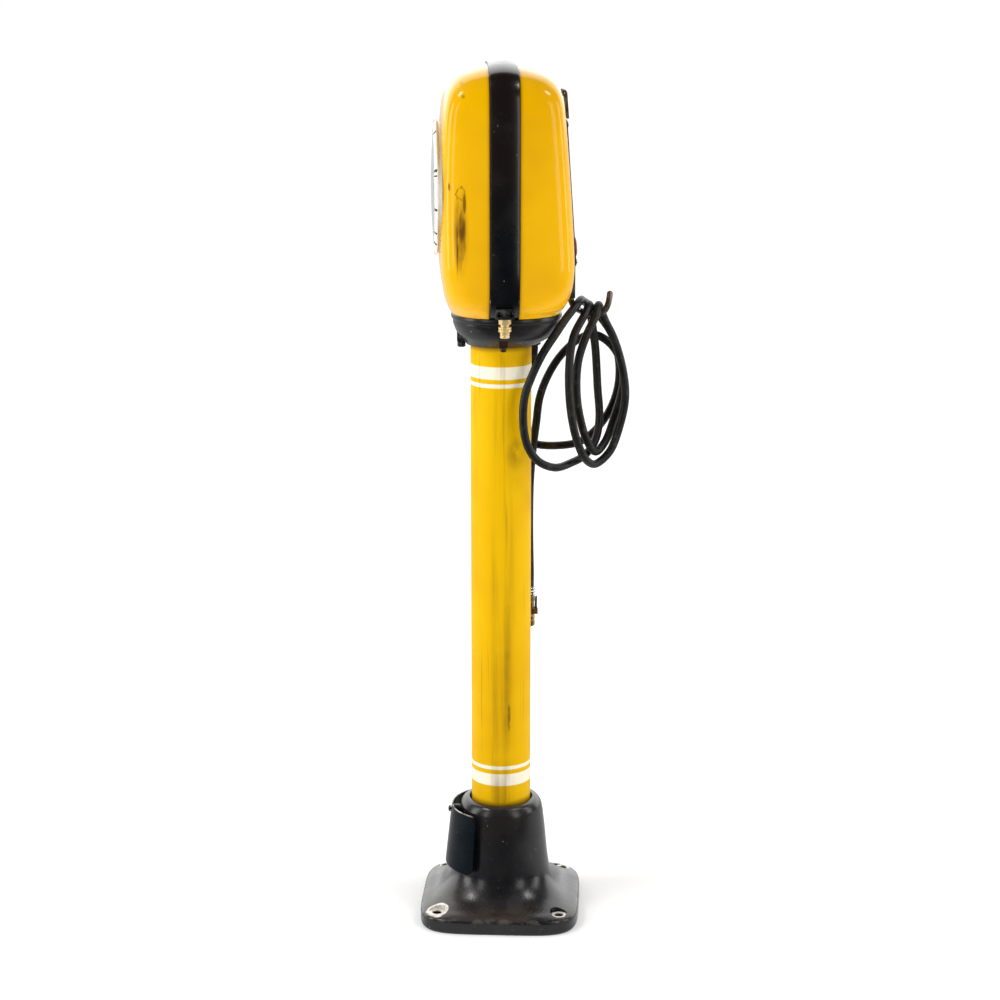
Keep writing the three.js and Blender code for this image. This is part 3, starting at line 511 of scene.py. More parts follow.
def shell_yellow():
    look = Look("shell_yellow")
    marks = shell_marks(look)
    colour = look.over(yellow_base(look), BURN_AND_SHADE, marks, 0.9)
    foot = look.times(look.fade(look.z, 0.950, 0.922), look.patches(45.0, 0.5, 0.62), 0.12)
    rims = look.times(look.edges(), look.patches(30.0, 0.5, 0.6, 3.0), 0.12)
    colour = look.over(colour, GRIME_AND_SHADE, look.either(foot, rims))
    seam = look.maths("ABSOLUTE", look.y)
    # painted shade on the shell beside the centre band, with a dark joint line at the gap itself
    shade = look.times(look.fade(seam, 0.0262, 0.0205), 0.35)
    colour = look.over(colour, BURN_AND_SHADE, look.either(shade, look.fade(seam, 0.0222, 0.0212)))
    scuffs = look.patches(38.0, 0.56, 0.66, 5.0, (1.0, 1.0, 0.3))
    rough = look.linear(marks, 0.35, look.linear(scuffs, 0.10, 0.24))
    return look.finish(
        colour, rough, coat=0.42, shine=0.08,
        bumps=[(look.noise(420.0, 2.0), 0.00003), (marks, 0.0002), (look.noise(14.0, 1.0), 0.0005)],
    )


def column_yellow():
    look = Look("column_yellow")
    # dirt streaks down the middle of the column, which also stand for painted shade there
    middle = look.fade(look.maths("ABSOLUTE", look.y), 0.024, 0.004)
    run = look.patches(60.0, 0.36, 0.66, 5.0, (1.0, 1.0, 0.035))
    fine = look.patches(150.0, 0.60, 0.72, 3.0, (1.0, 1.0, 0.03))
    low_mark = look.spot((0.04, 0.0095, 0.318), (1.0, 0.0028, 0.030))
    # a painted shadow of the hose on the column
    hose_shadow = look.spot((0.04, 0.018, 0.716), (1.0, 0.013, 0.022), 1.4, 0.2)
    dirt_and_shade = look.either(
        look.times(middle, run, look.patches(6.0, 0.30, 0.60), 0.8),
        look.times(fine, 0.3),
        look.times(hose_shadow, look.patches(55.0, 0.3, 0.6), 0.5),
        look.times(low_mark, look.patches(90.0, 0.35, 0.5, 3.0), 0.8),
        # painted shade just under the saddle bowl, then darker for the few millimetres above the base socket
        look.times(look.fade(look.z, 0.864, 0.874), 0.75),
        look.times(look.fade(look.z, 0.186, 0.178), 0.5),
    )
    colour = yellow_base(look, COLUMN_YELLOW)
    for low, high in STRIPES:
        inside = look.times(
            look.fade(look.z, (low - 0.3) * MM, (low + 0.3) * MM),
            look.fade(look.z, (high + 0.3) * MM, (high - 0.3) * MM),
        )
        colour = look.over(colour, CREAM, inside, look.patches(80.0, 0.80, 0.72))
    colour = look.over(colour, GRIME_AND_SHADE, dirt_and_shade)
    return look.finish(
        colour, look.linear(look.either(dirt_and_shade, fine), 0.2, 0.38), shine=0.05,
        bumps=[(look.noise(420.0, 2.0), 0.00004), (fine, 0.00003)],
    )


def band_black():
    look = Look("band_black")
    cloud = look.patches(24.0, 0.42, 0.7)
    low, high = (0.0012, 0.0028, 0.0042), (0.0075, 0.0045, 0.004)
    colour = look.mix(look.fade(look.z, 1.02, 1.16), low, high)
    colour = look.over(colour, (0.010, 0.0075, 0.0075), cloud, 0.5)
    colour = look.over(colour, (0.35, 0.33, 0.30), look.specks(210.0, 0.14, 0.03))
    worn = look.times(look.edges(0.53, 0.6), look.patches(50.0, 0.52, 0.6))
    colour = look.over(colour, (0.10, 0.09, 0.085), worn, 0.5)
    return look.finish(
        colour, look.linear(cloud, 0.08, 0.24), coat=0.35, shine=0.4,
        bumps=[(look.noise(500.0, 2.0), 0.00002)],
    )


def cast_base(name, gloss, dull, chips):
    """Semi-gloss black paint over a casting: orange peel, chips, rubbed edges, dust on top."""
    look = Look(name)
    cloud = look.patches(16.0, 0.4, 0.65, 5.0)
    colour = look.mix(cloud, (0.0065, 0.0070, 0.0085), (0.015, 0.0125, 0.012))
    rubbed = look.times(look.edges(0.515, 0.56), look.patches(60.0, 0.42, 0.58))
    colour = look.over(colour, (0.12, 0.105, 0.10), rubbed, 0.5)
    top = look.fade(look.facing_up(), 0.2, 0.95)
    dust = look.times(top, look.patches(26.0, 0.3, 0.75, 5.0), dull)
    colour = look.over(colour, (0.075, 0.064, 0.058), dust)
    coarse = look.specks(150.0, 0.13, chips, shift=1.0)
    flecks = look.either(coarse, look.specks(330.0, 0.15, chips, shift=5.0))
    colour = look.over(colour, (0.42, 0.39, 0.36), flecks, 0.8)
    rough = look.linear(dust, 0.2, look.linear(look.noise(48.0, 4.0), 0.14, gloss))
    bumps = [
        (look.noise(230.0), 0.00011),
        (look.noise(40.0, 2.0), 0.0003),
        (look.maths("SUBTRACT", 1.0, flecks), 0.0001),
    ]
    return look, colour, rough, flecks, bumps


def cast_black():
    look, colour, rough, flecks, bumps = cast_base("cast_black", 0.22, 0.35, 0.035)
    return look.finish(colour, rough, metal=look.times(flecks, 0.5), bumps=bumps)


def base_black():
    """The casting's paint, with bare metal where washers sat round the anchor holes."""
    look, colour, rough, flecks, bumps = cast_base("base_black", 0.17, 0.4, 0.06)
    bare = []
    for sx, sy, reach in ((1, -1, 1.30), (1, 1, 0.80), (-1, -1, 0.75), (-1, 1, 0.90)):
        place = tuple(BASE_TURN @ Vector((sx * ANCHOR_AT, sy * ANCHOR_AT, SEAT_Z)) * MM)
        ragged = look.times(look.noise(120.0, shift=2.0 + sx + 2 * sy), 0.35)
        far = look.maths("ADD", look.distance(place, (SEAT_R * MM, SEAT_R * MM, 1.0)), ragged)
        bare.append(look.fade(far, reach + 0.24, reach + 0.12))
    top = look.times(look.fade(look.z, 0.0205, 0.0225), look.fade(look.z, 0.040, 0.030))
    patch = look.times(look.either(*bare), top)
    scratched = look.patches(180.0, 0.35, 0.6, 3.0)
    metal = look.mix(scratched, (0.55, 0.50, 0.44), BARE_METAL)
    colour = look.over(colour, metal, patch)
    rim = look.maths("ABSOLUTE", look.maths("SUBTRACT", look.z, 0.020))
    edge = look.times(look.fade(rim, 0.004, 0.001), look.patches(55.0, 0.47, 0.60, 5.0))
    colour = look.over(colour, (0.16, 0.14, 0.13), edge, 0.35)
    metallic = look.either(look.times(patch, 0.2), look.times(flecks, 0.5))
    return look.finish(colour, look.linear(patch, 0.12, rough), metal=metallic, bumps=bumps)


def sheet_black():
    """The access cover's thin sheet: smoother black, its rim rubbed bright."""
    look = Look("sheet_black")
    cloud = look.patches(22.0, 0.4, 0.65)
    colour = look.mix(cloud, (0.0020, 0.0050, 0.0085), (0.0050, 0.0090, 0.0130))
    rim = look.fade(look.z, (COVER_HIGH - 1.6) * MM, (COVER_HIGH - 0.2) * MM)
    worn = look.times(rim, look.patches(70.0, 0.35, 0.5))
    bright = look.either(look.times(worn, 0.8), look.specks(240.0, 0.14, 0.04))
    colour = look.over(colour, (0.45, 0.40, 0.36), bright)
    return look.finish(
        colour, look.linear(look.noise(60.0), 0.15, 0.2), metal=look.times(worn, 0.6), shine=0.08,
        bumps=[(look.noise(260.0, 2.0), 0.00006)],
    )


def hose_rubber():
    look = Look("hose_rubber")
    cloud = look.patches(18.0, 0.38, 0.68)
    scuff = look.patches(110.0, 0.56, 0.68, 5.0)
    colour = look.mix(cloud, (0.0045, 0.0050, 0.0050), (0.0105, 0.0110, 0.0105))
    colour = look.over(colour, (0.050, 0.050, 0.048), scuff, 0.4)
    colour = look.over(colour, (0.5, 0.48, 0.43), look.specks(150.0, 0.12, 0.02), 0.8)
    rough = look.linear(look.either(scuff, cloud), 0.16, 0.34)
    return look.finish(colour, rough, shine=0.4, bumps=[(look.noise(260.0), 0.00012)])


def metal_look(name, bright, tarnished, gloss, share, grain, metal):
    """A bare metal: clean where it is handled, tarnished in patches, with fine tool marks."""
    look = Look(name)
    patch = look.patches(75.0, share, share + 0.2, 5.0)
    marks = look.noise(300.0, stretch=(0.15, 0.15, 3.0))
    return look.finish(
        look.mix(patch, bright, tarnished), look.linear(patch, 0.25, gloss), metal=metal,
        bumps=[(marks, grain)],
    )


def plastic_look(name, fresh, faded, gloss):
    """A moulded or painted skin that has faded and been handled."""
    look = Look(name)
    patch = look.patches(40.0, 0.4, 0.65)
    colour = look.mix(patch, fresh, faded)
    colour = look.over(colour, GRIME_AND_SHADE, look.specks(300.0, 0.12, 0.04), 0.6)
    return look.finish(
        colour, look.linear(patch, 0.15, gloss), coat=0.2,
        bumps=[(look.noise(350.0, 2.0), 0.00004)],
    )


def clear_glass():
    """Clear for shadows, so that the dial behind it is lit."""
    look = Look("clear_glass")
    look.finish((1.0, 1.0, 1.0), look.times(look.patches(30.0, 0.45, 0.7), 0.08))
    look.feed(look.surface.inputs["Transmission Weight"], 1.0)
    look.feed(look.surface.inputs["IOR"], GLASS_IOR)
    rays = look.node("ShaderNodeLightPath").outputs
    blocked = look.either(rays["Is Shadow Ray"], rays["Is Diffuse Ray"])
    look.swap(blocked, look.node("ShaderNodeBsdfTransparent"))
    return look.material
# ---- shapes that several pieces share

CAD_SHARP = 30  # degrees between the facets of a CAD node that count as an edge
STRIPES = [(826.7, 845.1), (814.3, 820.2), (233.0, 238.8), (207.7, 226.3)]
COLUMN_LOW, COLUMN_HIGH = box("column_tube")
TUBE_R = COLUMN_HIGH.x
TUBE_WALL = 3.2
BASE_HALF = 119.5
BASE_TOP = box("base_casting")[1].z
ANCHOR_AT = 91.5
ANCHOR_R = 7
SEAT_R = 13
SEAT_Z = 23.5
BASE_TURN = Matrix.Rotation(math.radians(-6), 4, "Z")  # the base is turned round the column
COVER_LOW = box("access_cover")[0].z
COVER_HIGH = box("access_cover")[1].z
BOWL_TOP = box("saddle_casting")[1].z
COVER_T = 2
HEAD_FOOT = box("front_shell")[0].z
BAND_HALF = box("centre_band")[1].y
BAND_PROUD = 6
BAND_DEPTH = 4
BAND_CROWN = 3  # the band is this much prouder in its middle than at its edges
SHELL_WALL = 3.5
RING_POINTS = 240
COVER_BOSS_R = 7
FAR = 200  # past the head on any side
BAND_SCREWS = [f"band_screw_{i}" for i in range(1, 5)]
GLAND = centre("hose_gland")
DIAL_PLACE = axes(joint_place("needle_turn"), (1, 0, 0), (0, 0, 1), (0, -1, 0))

# [height, half size, plan power]: a rounded square flange that flares up into a round bell
BASE_LEVELS = [
    (0, BASE_HALF - 1, 4.8), (1.5, BASE_HALF, 4.8), (9, BASE_HALF, 4.8), (17, BASE_HALF, 4.8),
    (19.5, BASE_HALF - 0.8, 4.8), (21.5, BASE_HALF - 2.5, 4.7), (25, 110.5, 4.4), (29, 101, 3.9),
    (36, 91.5, 3), (47, 82, 2.5), (60, 75.5, 2.1), (80, 71.5, 2), (130, 66.5, 2), (156, 63.3, 2),
    (166, 61.4, 2), (172, 58.4, 2), (175.6, 55, 2), (BASE_TOP, 51.2, 2),
]
# [height, radius, how far the ring's centre sits towards the hose]
BOWL_LEVELS = [
    (874, 50.5, 0), (875.3, 53, 2), (878.5, 57.5, 4), (883, 63.5, 6), (888, 68.8, 6.7),
    (893.5, 72.4, 7), (899, 75, 7.3), (905.5, 77.4, 7.6), (910.3, 78.1, 8), (911.6, 78.6, 8),
    (912.6, 79.9, 8), (914.5, 80.4, 8), (918.5, 80.3, 8), (BOWL_TOP, 79.2, 8),
]
# [height, front, rear, half width, plan power] of the two yellow shells together
HEAD_LEVELS = [
    (HEAD_FOOT, -72, 86, 80, 2.3), (925, -75, 88.5, 84.5, 2.6), (933, -78.5, 92, 92, 3.3),
    (943, -81.8, 95.2, 98.5, 4.2), (955, -84.2, 98, 103.5, 5.2), (972, -86.6, 100.3, 107, 6.2),
    (992, -88.5, 101.3, 109, 7), (1030, -89.6, 99.9, 110, 7), (1090, -90, 96.2, 110, 7),
    (1150, -88.4, 91.8, 110, 7), (1200, -85.9, 87.7, 109, 6.8), (1223, -82.8, 85.2, 107.5, 6.2),
    (1237, -79, 81.5, 104.5, 5.4), (1247, -73.8, 76.2, 100, 4.6), (1256, -65.8, 67.5, 93, 3.8),
    (1263, -54, 55, 82, 3.2), (1269, -37, 36, 62, 2.8), (1273, -17, 15, 34, 2.4),
]


def plan_ring(z, half_x, front, rear, power, count=RING_POINTS):
    """A superellipse in plan: power 2 is an ellipse, higher powers are squarer."""
    middle, half_y = (front + rear) / 2, (rear - front) / 2
    ring = []
    for i in range(count):
        c, s = math.cos(TURN * i / count), math.sin(TURN * i / count)
        r = (abs(c / half_x) ** power + abs(s / half_y) ** power) ** (-1 / power)
        ring.append((r * c, middle + r * s, z))
    return ring


def head_skin(inset=0.0):
    """The head's outer skin, or with an inset the hollow inside it, open to below."""
    foot, top = HEAD_LEVELS[0][0], HEAD_LEVELS[-1][0]
    rings = []
    for z, front, rear, half, power in spline(HEAD_LEVELS, 7):
        lower = inset * (z - foot) / (top - foot)
        rings.append(plan_ring(z - lower, half - inset, front + inset, rear - inset, power))
    if inset:
        rings.insert(0, [(x, y, foot - 5) for x, y, _ in rings[0]])
    return skin(rings)


def dress(made, look, angle=35):
    made.data.materials.clear()
    made.data.materials.append(LOOKS[look])
    return smooth(made, angle)


def stand_for(made, node, look, angle=35):
    """made takes the CAD node's place: it rides on the same body, wears the given look, and the node is hidden."""
    made.name = f"{node}_fine"
    made.data.name = made.name
    dress(made, look, angle)
    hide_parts(node)
    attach(made, BODY_OF[node])


def keep(node, look, edge=0.0):
    """The CAD node stays, with a better finish and, if asked, rounded edges."""
    made = dress(frame["nodes"][node], look, CAD_SHARP)
    if edge:
        bevel(made, edge)


def add_print(name, parts, ride_with):
    """Printed detail, which has no CAD node of its own."""
    made = dress(joined(name, parts), "ink_black")
    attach(made, BODY_OF[ride_with])


def build_screw(node, outward, head_r, head_h, look="screw_black", slot=1.1):
    """A round-headed screw with a slot, its head at the node's outward end."""
    outward = Vector(outward).normalized()
    foot, start, end = axis_span(node, outward)
    place = facing(foot + outward * (end - head_h), outward)
    tip, shank_r = head_h - (end - start), head_r * 0.45
    dome = [
        (head_r * math.cos(a), head_h * (0.25 + 0.75 * math.sin(a)))
        for a in (TURN / 4 * k / 6 for k in range(7))
    ]
    profile = [(0, tip), (shank_r, tip), (shank_r, 0), (head_r, 0), *dome]
    made = turned(profile, place, sides=40, ease=0.15)
    groove = block((-head_r - 1, -slot / 2, head_h / 2), (head_r + 1, slot / 2, head_h + 1), place)
    stand_for(carve(made, [groove]), node, look)


def build_pin(node, joint, radius, sides, ease):
    low, high = box(node)
    pin = plug(radius, low.x, high.x, crosswise(joint_place(joint)), sides, ease)
    stand_for(pin, node, "chrome")


# ---- base and column


def build_base():
    outer = skin([
        plan_ring(z, size, -size, size, power) for z, size, power in spline(BASE_LEVELS, 5)
    ])
    hollow = turned(
        [(0, -1), (86, -1), (80, 12), (67, 38), (63.5, 70), (60, 118), (54, 138), (0, 138)],
        sides=96,
    )
    floor, bore = COLUMN_LOW.z - GAP, TUBE_R + GAP
    socket = turned(
        [(0, 130), (39, 130), (39, floor), (bore, floor), (bore, 168), (47, 170),
         (47, BASE_TOP - 1), (48.2, BASE_TOP + 0.5), (0, BASE_TOP + 0.5)],
        sides=96, ease=0.2,
    )
    anchor = [
        (0, -1), (ANCHOR_R, -1), (ANCHOR_R, SEAT_Z - 0.8), (ANCHOR_R + 0.8, SEAT_Z),
        (SEAT_R, SEAT_Z), (SEAT_R + 1.2, 60), (0, 60),
    ]
    anchors = [
        turned(anchor, Matrix.Translation((x, y, 0)), sides=48, ease=0.0)
        for x in (-ANCHOR_AT, ANCHOR_AT)
        for y in (-ANCHOR_AT, ANCHOR_AT)
    ]
    towards_dial = axes((0, 0, 114), (1, 0, 0), (0, 0, 1), (0, -1, 0))
    hand_hole = prism(rounded_outline(34, 17, 8), 30, 90, towards_dial)
    screw_z = centre("access_cover_screw").z
    clamp_z = centre("column_clamp_screw").z
    boss_end = GAP + COVER_T - cover_radius(screw_z + COVER_BOSS_R)
    boss = rod(COVER_BOSS_R, (0, -55, screw_z), (0, boss_end, screw_z))
    carve(outer, [boss], "UNION")
    carve(outer, [
        hollow, socket, *anchors, hand_hole,
        rod(2.3, (0, -60, screw_z), (0, -90, screw_z)),
        rod(4.1, (0, 40, clamp_z), (0, 70, clamp_z)),
    ])
    outer.data.transform(BASE_TURN)
    stand_for(outer, "base_casting", "base_black", 32)


def cover_radius(z):
    return 87.5 - (z - 50) * 12.5 / 115


def build_cover():
    """A thin sheet bent round the bell, with rounded corners."""
    span, corner, columns, rows = math.radians(62), 10.0, 72, 30
    points, faces = [], []
    arc = span * cover_radius((COVER_LOW + COVER_HIGH) / 2)
    for i in range(columns + 1):
        share = math.sin(TURN / 4 * (2 * i / columns - 1))
        angle = span * share
        into = max(corner - arc * (1 - abs(share)), 0.0)
        drop = corner - math.sqrt(max(corner**2 - into**2, 0.0))
        for inward in (0.0, COVER_T):
            for k in range(rows + 1):
                z = COVER_LOW + drop + (COVER_HIGH - COVER_LOW - 2 * drop) * k / rows
                r = cover_radius(z) - inward
                points.append((r * math.sin(angle), -r * math.cos(angle), z))
    row = rows + 1
    step = 2 * row
    for i in range(columns):
        for k in range(rows):
            a = i * step + k
            faces.append((a, a + 1, a + step + 1, a + step))
            b = a + row
            faces.append((b, b + step, b + step + 1, b + 1))
        for k in (0, rows):
            a = i * step + k
            faces.append((a, a + step, a + step + row, a + row))
    for i in (0, columns):
        for k in range(rows):
            a = i * step + k
            faces.append((a, a + row, a + row + 1, a + 1))
    screw_z = centre("access_cover_screw").z
    sheet = carve(solid(points, faces), [rod(2.5, (0, -60, screw_z), (0, -90, screw_z))])
    sheet.data.transform(BASE_TURN)
    stand_for(bevel(sheet, 0.35, 2), "access_cover", "sheet_black")
    build_screw("access_cover_screw", BASE_TURN @ Vector((0, -1, 0)), 5, 3.6)


def build_column():
    low, high = COLUMN_LOW.z, COLUMN_HIGH.z
    inner = TUBE_R - TUBE_WALL
    wall = [(inner, low), (TUBE_R, low), (TUBE_R, high), (inner, high)]
    tube_wall = turned(wall, sides=160, ease=0.6, on_axis=False)
    stand_for(tube_wall, "column_tube", "column_yellow")


# ---- saddle and what hangs from it


def round_levels(levels, count):
    """Rings from rows of height, radius and how far the centre sits towards the hose."""
    return [plan_ring(z, r, y - r, y + r, 2, count) for z, r, y in levels]


def build_saddle():
    bowl = skin(round_levels(spline(BOWL_LEVELS, 4), 192))
    top = BOWL_TOP + 1
    hollow = skin(round_levels([(888, 61, 6), (895, 67, 7), (top, 74, 8)], 96))
    carve(hollow, [rod(51, (0, 0, 880), (0, 0, top + 1), 96)])
    bore = rod(TUBE_R + GAP, (0, 0, 860), (0, 0, top + 1), 128)
    gland_hole = rod(5 + GAP, (GLAND.x, GLAND.y, 860), (GLAND.x, GLAND.y, BOWL_TOP))
    stand_for(carve(bowl, [hollow, bore, gland_hole]), "saddle_casting", "cast_black", 40)


def build_gland():
    low, high = box("hose_gland")
    seat, radius, mouth = low.z + 6.6, (high.x - low.x) / 2, 7.2
    made = turned(
        [(0, seat + 1), (4, seat + 1), (mouth, seat - 1), (mouth, low.z), (radius - 1.4, low.z),
         (radius, low.z + 1.4), (radius, low.z + 3.2), (radius - 0.8, low.z + 3.7),
         (radius - 0.8, low.z + 4.3), (radius, low.z + 4.8), (radius, seat), (5, seat),
         (5, high.z), (0, high.z)],
        upright(GLAND), sides=64, ease=0.3,
    )
    stand_for(made, "hose_gland", "cast_black")


def build_regulator():
    """The knob's grip has flutes all round."""
    low, high = box("regulator_knob")
    length, radius = high.z - low.z, (high.x - low.x) / 2
    grip, flutes, count = 6.4, 18, 144
    rings = []
    for r, z, depth in (
        (0.02, 0, 0), (4.6, 0, 0), (5.2, 0.3, 0), (radius, 1.2, 0.5), (radius, grip, 0.5),
        (5.4, grip + 1.2, 0.2), (3, grip + 1.5, 0), (2.3, grip + 1.6, 0), (2.3, length, 0),
        (0.02, length, 0),
    ):
        ring = []
        for i in range(count):
            a = TURN * i / count
            flute = r - depth * (0.5 - 0.5 * math.cos(flutes * a)) ** 2
            ring.append((flute * math.cos(a), flute * math.sin(a), z))
        rings.append(ring)
    stand_for(skin(rings, upright(centre("regulator_knob"), low.z)), "regulator_knob", "ink_black")
    keep("regulator_block", "cast_black", 0.8)
    keep("drain_cock", "rusty", 0.6)


def build_coupler():
    """A brass quick coupler: hexagon, ribbed sliding sleeve and a bored nose."""
    low, high = box("coupler_body")
    at = upright(centre("coupler_body"))
    corner = 8.9
    turns = [TURN * (k + 0.5) / 6 for k in range(6)]
    hexagon = [(corner * math.cos(a), corner * math.sin(a)) for a in turns]
    nut_low, nut_high = 917.2, box("coupler_bracket")[0].z - GAP
    nut = prism(eased(hexagon, 0.5), nut_low, nut_high, at)
    chamfer = turned(
        [(0, nut_low - 1), (7.6, nut_low - 1), (corner, nut_low + 1), (corner, nut_high - 1),
         (7.9, nut_high + 1), (0, nut_high + 1)],
        at, sides=64, ease=0.0,
    )
    carve(nut, [chamfer], "INTERSECT")
    nose = turned(
        [(0, 903.5), (4.2, 903.5), (4.2, low.z), (6.2, low.z), (6.9, low.z + 1.2), (6.9, 900.6),
         (6.3, 901.2), (6.3, 902.2), (6.9, 902.8), (6.9, 904.8), (6.2, 905.6), (6.2, nut_low),
         (6.2, nut_high - 1), (4, nut_high - 1), (4, high.z), (0, high.z)],
        at, sides=64, ease=0.3,
    )
    stand_for(carve(nut, [nose], "UNION"), "coupler_body", "brass")
    bottom, top = box("coupler_sleeve")[0].z, box("coupler_sleeve")[1].z
    rib = 9.2
    profile = [(6.5, bottom), (8.5, bottom), (rib, bottom + 0.9), (rib, bottom + 2.0)]
    for k in range(3):
        z = bottom + 2.0 + 1.1 * k
        profile += [(8.75, z + 0.25), (8.75, z + 0.65), (rib, z + 0.9)]
    profile += [(rib, top - 0.9), (8.5, top), (6.5, top)]
    sleeve = turned(profile, at, sides=96, ease=0.2, on_axis=False)
    stand_for(sleeve, "coupler_sleeve", "brass")
    for node in ("coupler_bracket", "band_lug"):
        keep(node, "cast_black", 0.8)
    for node in BAND_SCREWS:
        build_screw(node, (math.copysign(1, centre(node).x), 0, 0), 4.2, 3)


# ---- head


def build_shells():
    mouth = turned(
        [(0, -50), (84 + GAP, -50), (84 + GAP, -4 - GAP), (93 + GAP, -4 - GAP), (93 + GAP, 30),
         (0, 30)],
        DIAL_PLACE, sides=160, ease=0.0,
    )
    rear_half = block((-FAR, -BAND_HALF - GAP, 800), (FAR, FAR, 1400))
    front = carve(head_skin(), [head_skin(SHELL_WALL), rear_half, mouth])
    stand_for(front, "front_shell", "shell_yellow", 28)

    plate = rounded_outline(PANEL_HALF_W + GAP, PANEL_HALF_H + GAP, 10 + GAP)
    inner = rounded_outline(PANEL_HALF_W - 8, PANEL_HALF_H - 8, 6)
    pin = joint_place("release_lever_swing")
    rear = carve(head_skin(), [
        head_skin(SHELL_WALL),
        block((-FAR, -FAR, 800), (FAR, BAND_HALF + GAP, 1400)),
        prism(plate, -1.5 - GAP, 30, PANEL_PLACE),
        prism(inner, -45, 30, PANEL_PLACE),
        block((pin.x - 10.3, pin.y - 8.3, pin.z - 3.7), (pin.x + 10.3, pin.y + 8, pin.z + 1.8)),
    ])
    stand_for(rear, "rear_shell", "shell_yellow", 28)


def build_band():
    """A strip with rounded edges, up one side of the head, over its crown and down the other."""
    foot, top = box("centre_band")[0].z, box("centre_band")[1].z
    side = [Vector((half, z)) for z, _, _, half, _ in spline(HEAD_LEVELS, 6)]
    side = even(side + [Vector((0, top - BAND_PROUD))], 4.0)
    line = side + [Vector((-p.x, p.y)) for p in reversed(side[:-1])]
    domed = [(a, BAND_PROUD - BAND_CROWN * (a / BAND_HALF) ** 2) for a in range(-20, 21)]
    section = eased([(-BAND_HALF, -BAND_DEPTH), *domed, (BAND_HALF, -BAND_DEPTH)], 2.4, 8)
    rings = []
    for i, point in enumerate(line):
        along = (line[min(i + 1, len(line) - 1)] - line[max(i - 1, 0)]).normalized()
        out = Vector((along.y, -along.x))
        rings.append([
            ((point + out * lift).x, across, (point + out * lift).y) for across, lift in section
        ])
    cuts = [block((-FAR, -100, foot - 60), (FAR, 100, foot))]
    for at in (centre(node) for node in BAND_SCREWS):
        out = math.copysign(1, at.x)
        cuts.append(rod(2.3, (out * 70, at.y, at.z), (out * 130, at.y, at.z)))
    stand_for(carve(skin(rings), cuts), "centre_band", "band_black", 40)


# ---- dial

SWEEP = JOINTS["needle_turn"]["range_deg"][1] - JOINTS["needle_turn"]["range_deg"][0]
ZERO = math.radians(90 + SWEEP / 2)  # the zero mark, anticlockwise from local +X
FACE = 2.2  # the plate's face, from the needle's joint
INK = 0.12  # how far printed marks stand proud
RING_R = 79
NUMBERS_R = 59
NUMBER_SIZE = 13
DIAL_STEPS = 10
# [angle on the bezel's right half, width]; the left half mirrors them
BEZEL_MARKS = [
    (82, 3.4), (58, 3.4), (19, 4.0), (14.5, 2.0), (-14, 3.4), (-37, 3.0), (-51, 4.4), (-80, 2.4),
]


def radial(angle):
    """The unit vectors along and across a radius of the dial."""
    along = Vector((math.cos(angle), math.sin(angle)))
    return along, Vector((-along.y, along.x))


def dial_angle(share):
    return ZERO - math.radians(SWEEP) * share


def build_scale():
    """Raised ink on the plate: a ring, eleven long marks and forty short ones."""
    marks = []
    fifths = DIAL_STEPS * 5
    for k in range(fifths + 1):
        inner, width = (74, 0.8) if k % 5 else (70, 1.8)
        along, across = radial(dial_angle(k / fifths))
        aside = across * width / 2
        outline = [
            along * inner - aside, along * RING_R - aside, along * RING_R + aside,
            along * inner + aside,
        ]
        marks.append(prism(outline, FACE, FACE + INK, DIAL_PLACE))
    ring = [(RING_R, FACE), (RING_R + 0.8, FACE), (RING_R + 0.8, FACE + INK), (RING_R, FACE + INK)]
    marks.append(turned(ring, DIAL_PLACE, sides=160, ease=0.0, on_axis=False))
    add_print("dial_marks", marks, "dial_plate")


def build_numbers():
    digits = []
    for k in range(DIAL_STEPS + 1):
        text = bpy.data.curves.new("digit", "FONT")
        text.body = str(k)
        text.size = NUMBER_SIZE
        text.extrude = INK / 2
        text.align_x = "CENTER"
        text.align_y = "CENTER"
        shown = linked("digit", text)
        digit = linked("digit_mesh", bpy.data.meshes.new_from_object(shown))
        bpy.data.objects.remove(shown)
        x, y = radial(dial_angle(k / DIAL_STEPS))[0] * NUMBERS_R
        digit.data.transform(DIAL_PLACE @ Matrix.Translation((x, y, FACE + 0.07)))
        digit.data.transform(Matrix.Scale(MM, 4))
        digits.append(digit)
    add_print("dial_numbers", digits, "dial_plate")


def build_bezel_marks():
    """Ink laid over the bezel's rounded rim."""
    marks = []
    for degrees, wide in BEZEL_MARKS + [(180 - degrees, wide) for degrees, wide in BEZEL_MARKS]:
        along, across = radial(math.radians(degrees))
        aside = across * wide / 2
        rings = []
        for r, z in ((91.6, 7.3), (92.4, 7.15), (95.4, 5.85), (96.2, 4.9), (96.9, 3.6)):
            low, high = along * (r - 0.35), along * (r + INK)
            rings.append([
                (*(low - aside), z - 0.35), (*(low + aside), z - 0.35),
                (*(high + aside), z + INK), (*(high - aside), z + INK),
            ])
        marks.append(skin(rings, DIAL_PLACE))
    add_print("bezel_marks", marks, "dial_bezel")


def build_dial():
    bezel = turned(
        [(88, -4), (93, -4), (93, 1), (96.4, 2.2), (97, 3.6), (95.6, 5.6), (92, 7.2), (86, 7.2),
         (86, 6.2), (88, 6.2)],
        DIAL_PLACE, sides=192, ease=0.6, on_axis=False,
    )
    stand_for(bezel, "dial_bezel", "white_enamel")
    build_bezel_marks()

    rim, thick, crown, fall = 87.6, 2.5, 10.3, 4.4
    outer = [(rim * k / 24, crown - fall * (k / 24) ** 2) for k in range(25)]
    inner = [(r, z - thick) for r, z in reversed(outer)]
    stand_for(turned(outer + inner, DIAL_PLACE, sides=160, ease=0.0), "dial_glass", "clear_glass")

    plate = [(3, 1), (rim, 1), (rim, FACE), (3, FACE)]
    plate = turned(plate, DIAL_PLACE, sides=160, ease=0.2, on_axis=False)
    stand_for(plate, "dial_plate", "dial_white")
    build_scale()
    build_numbers()


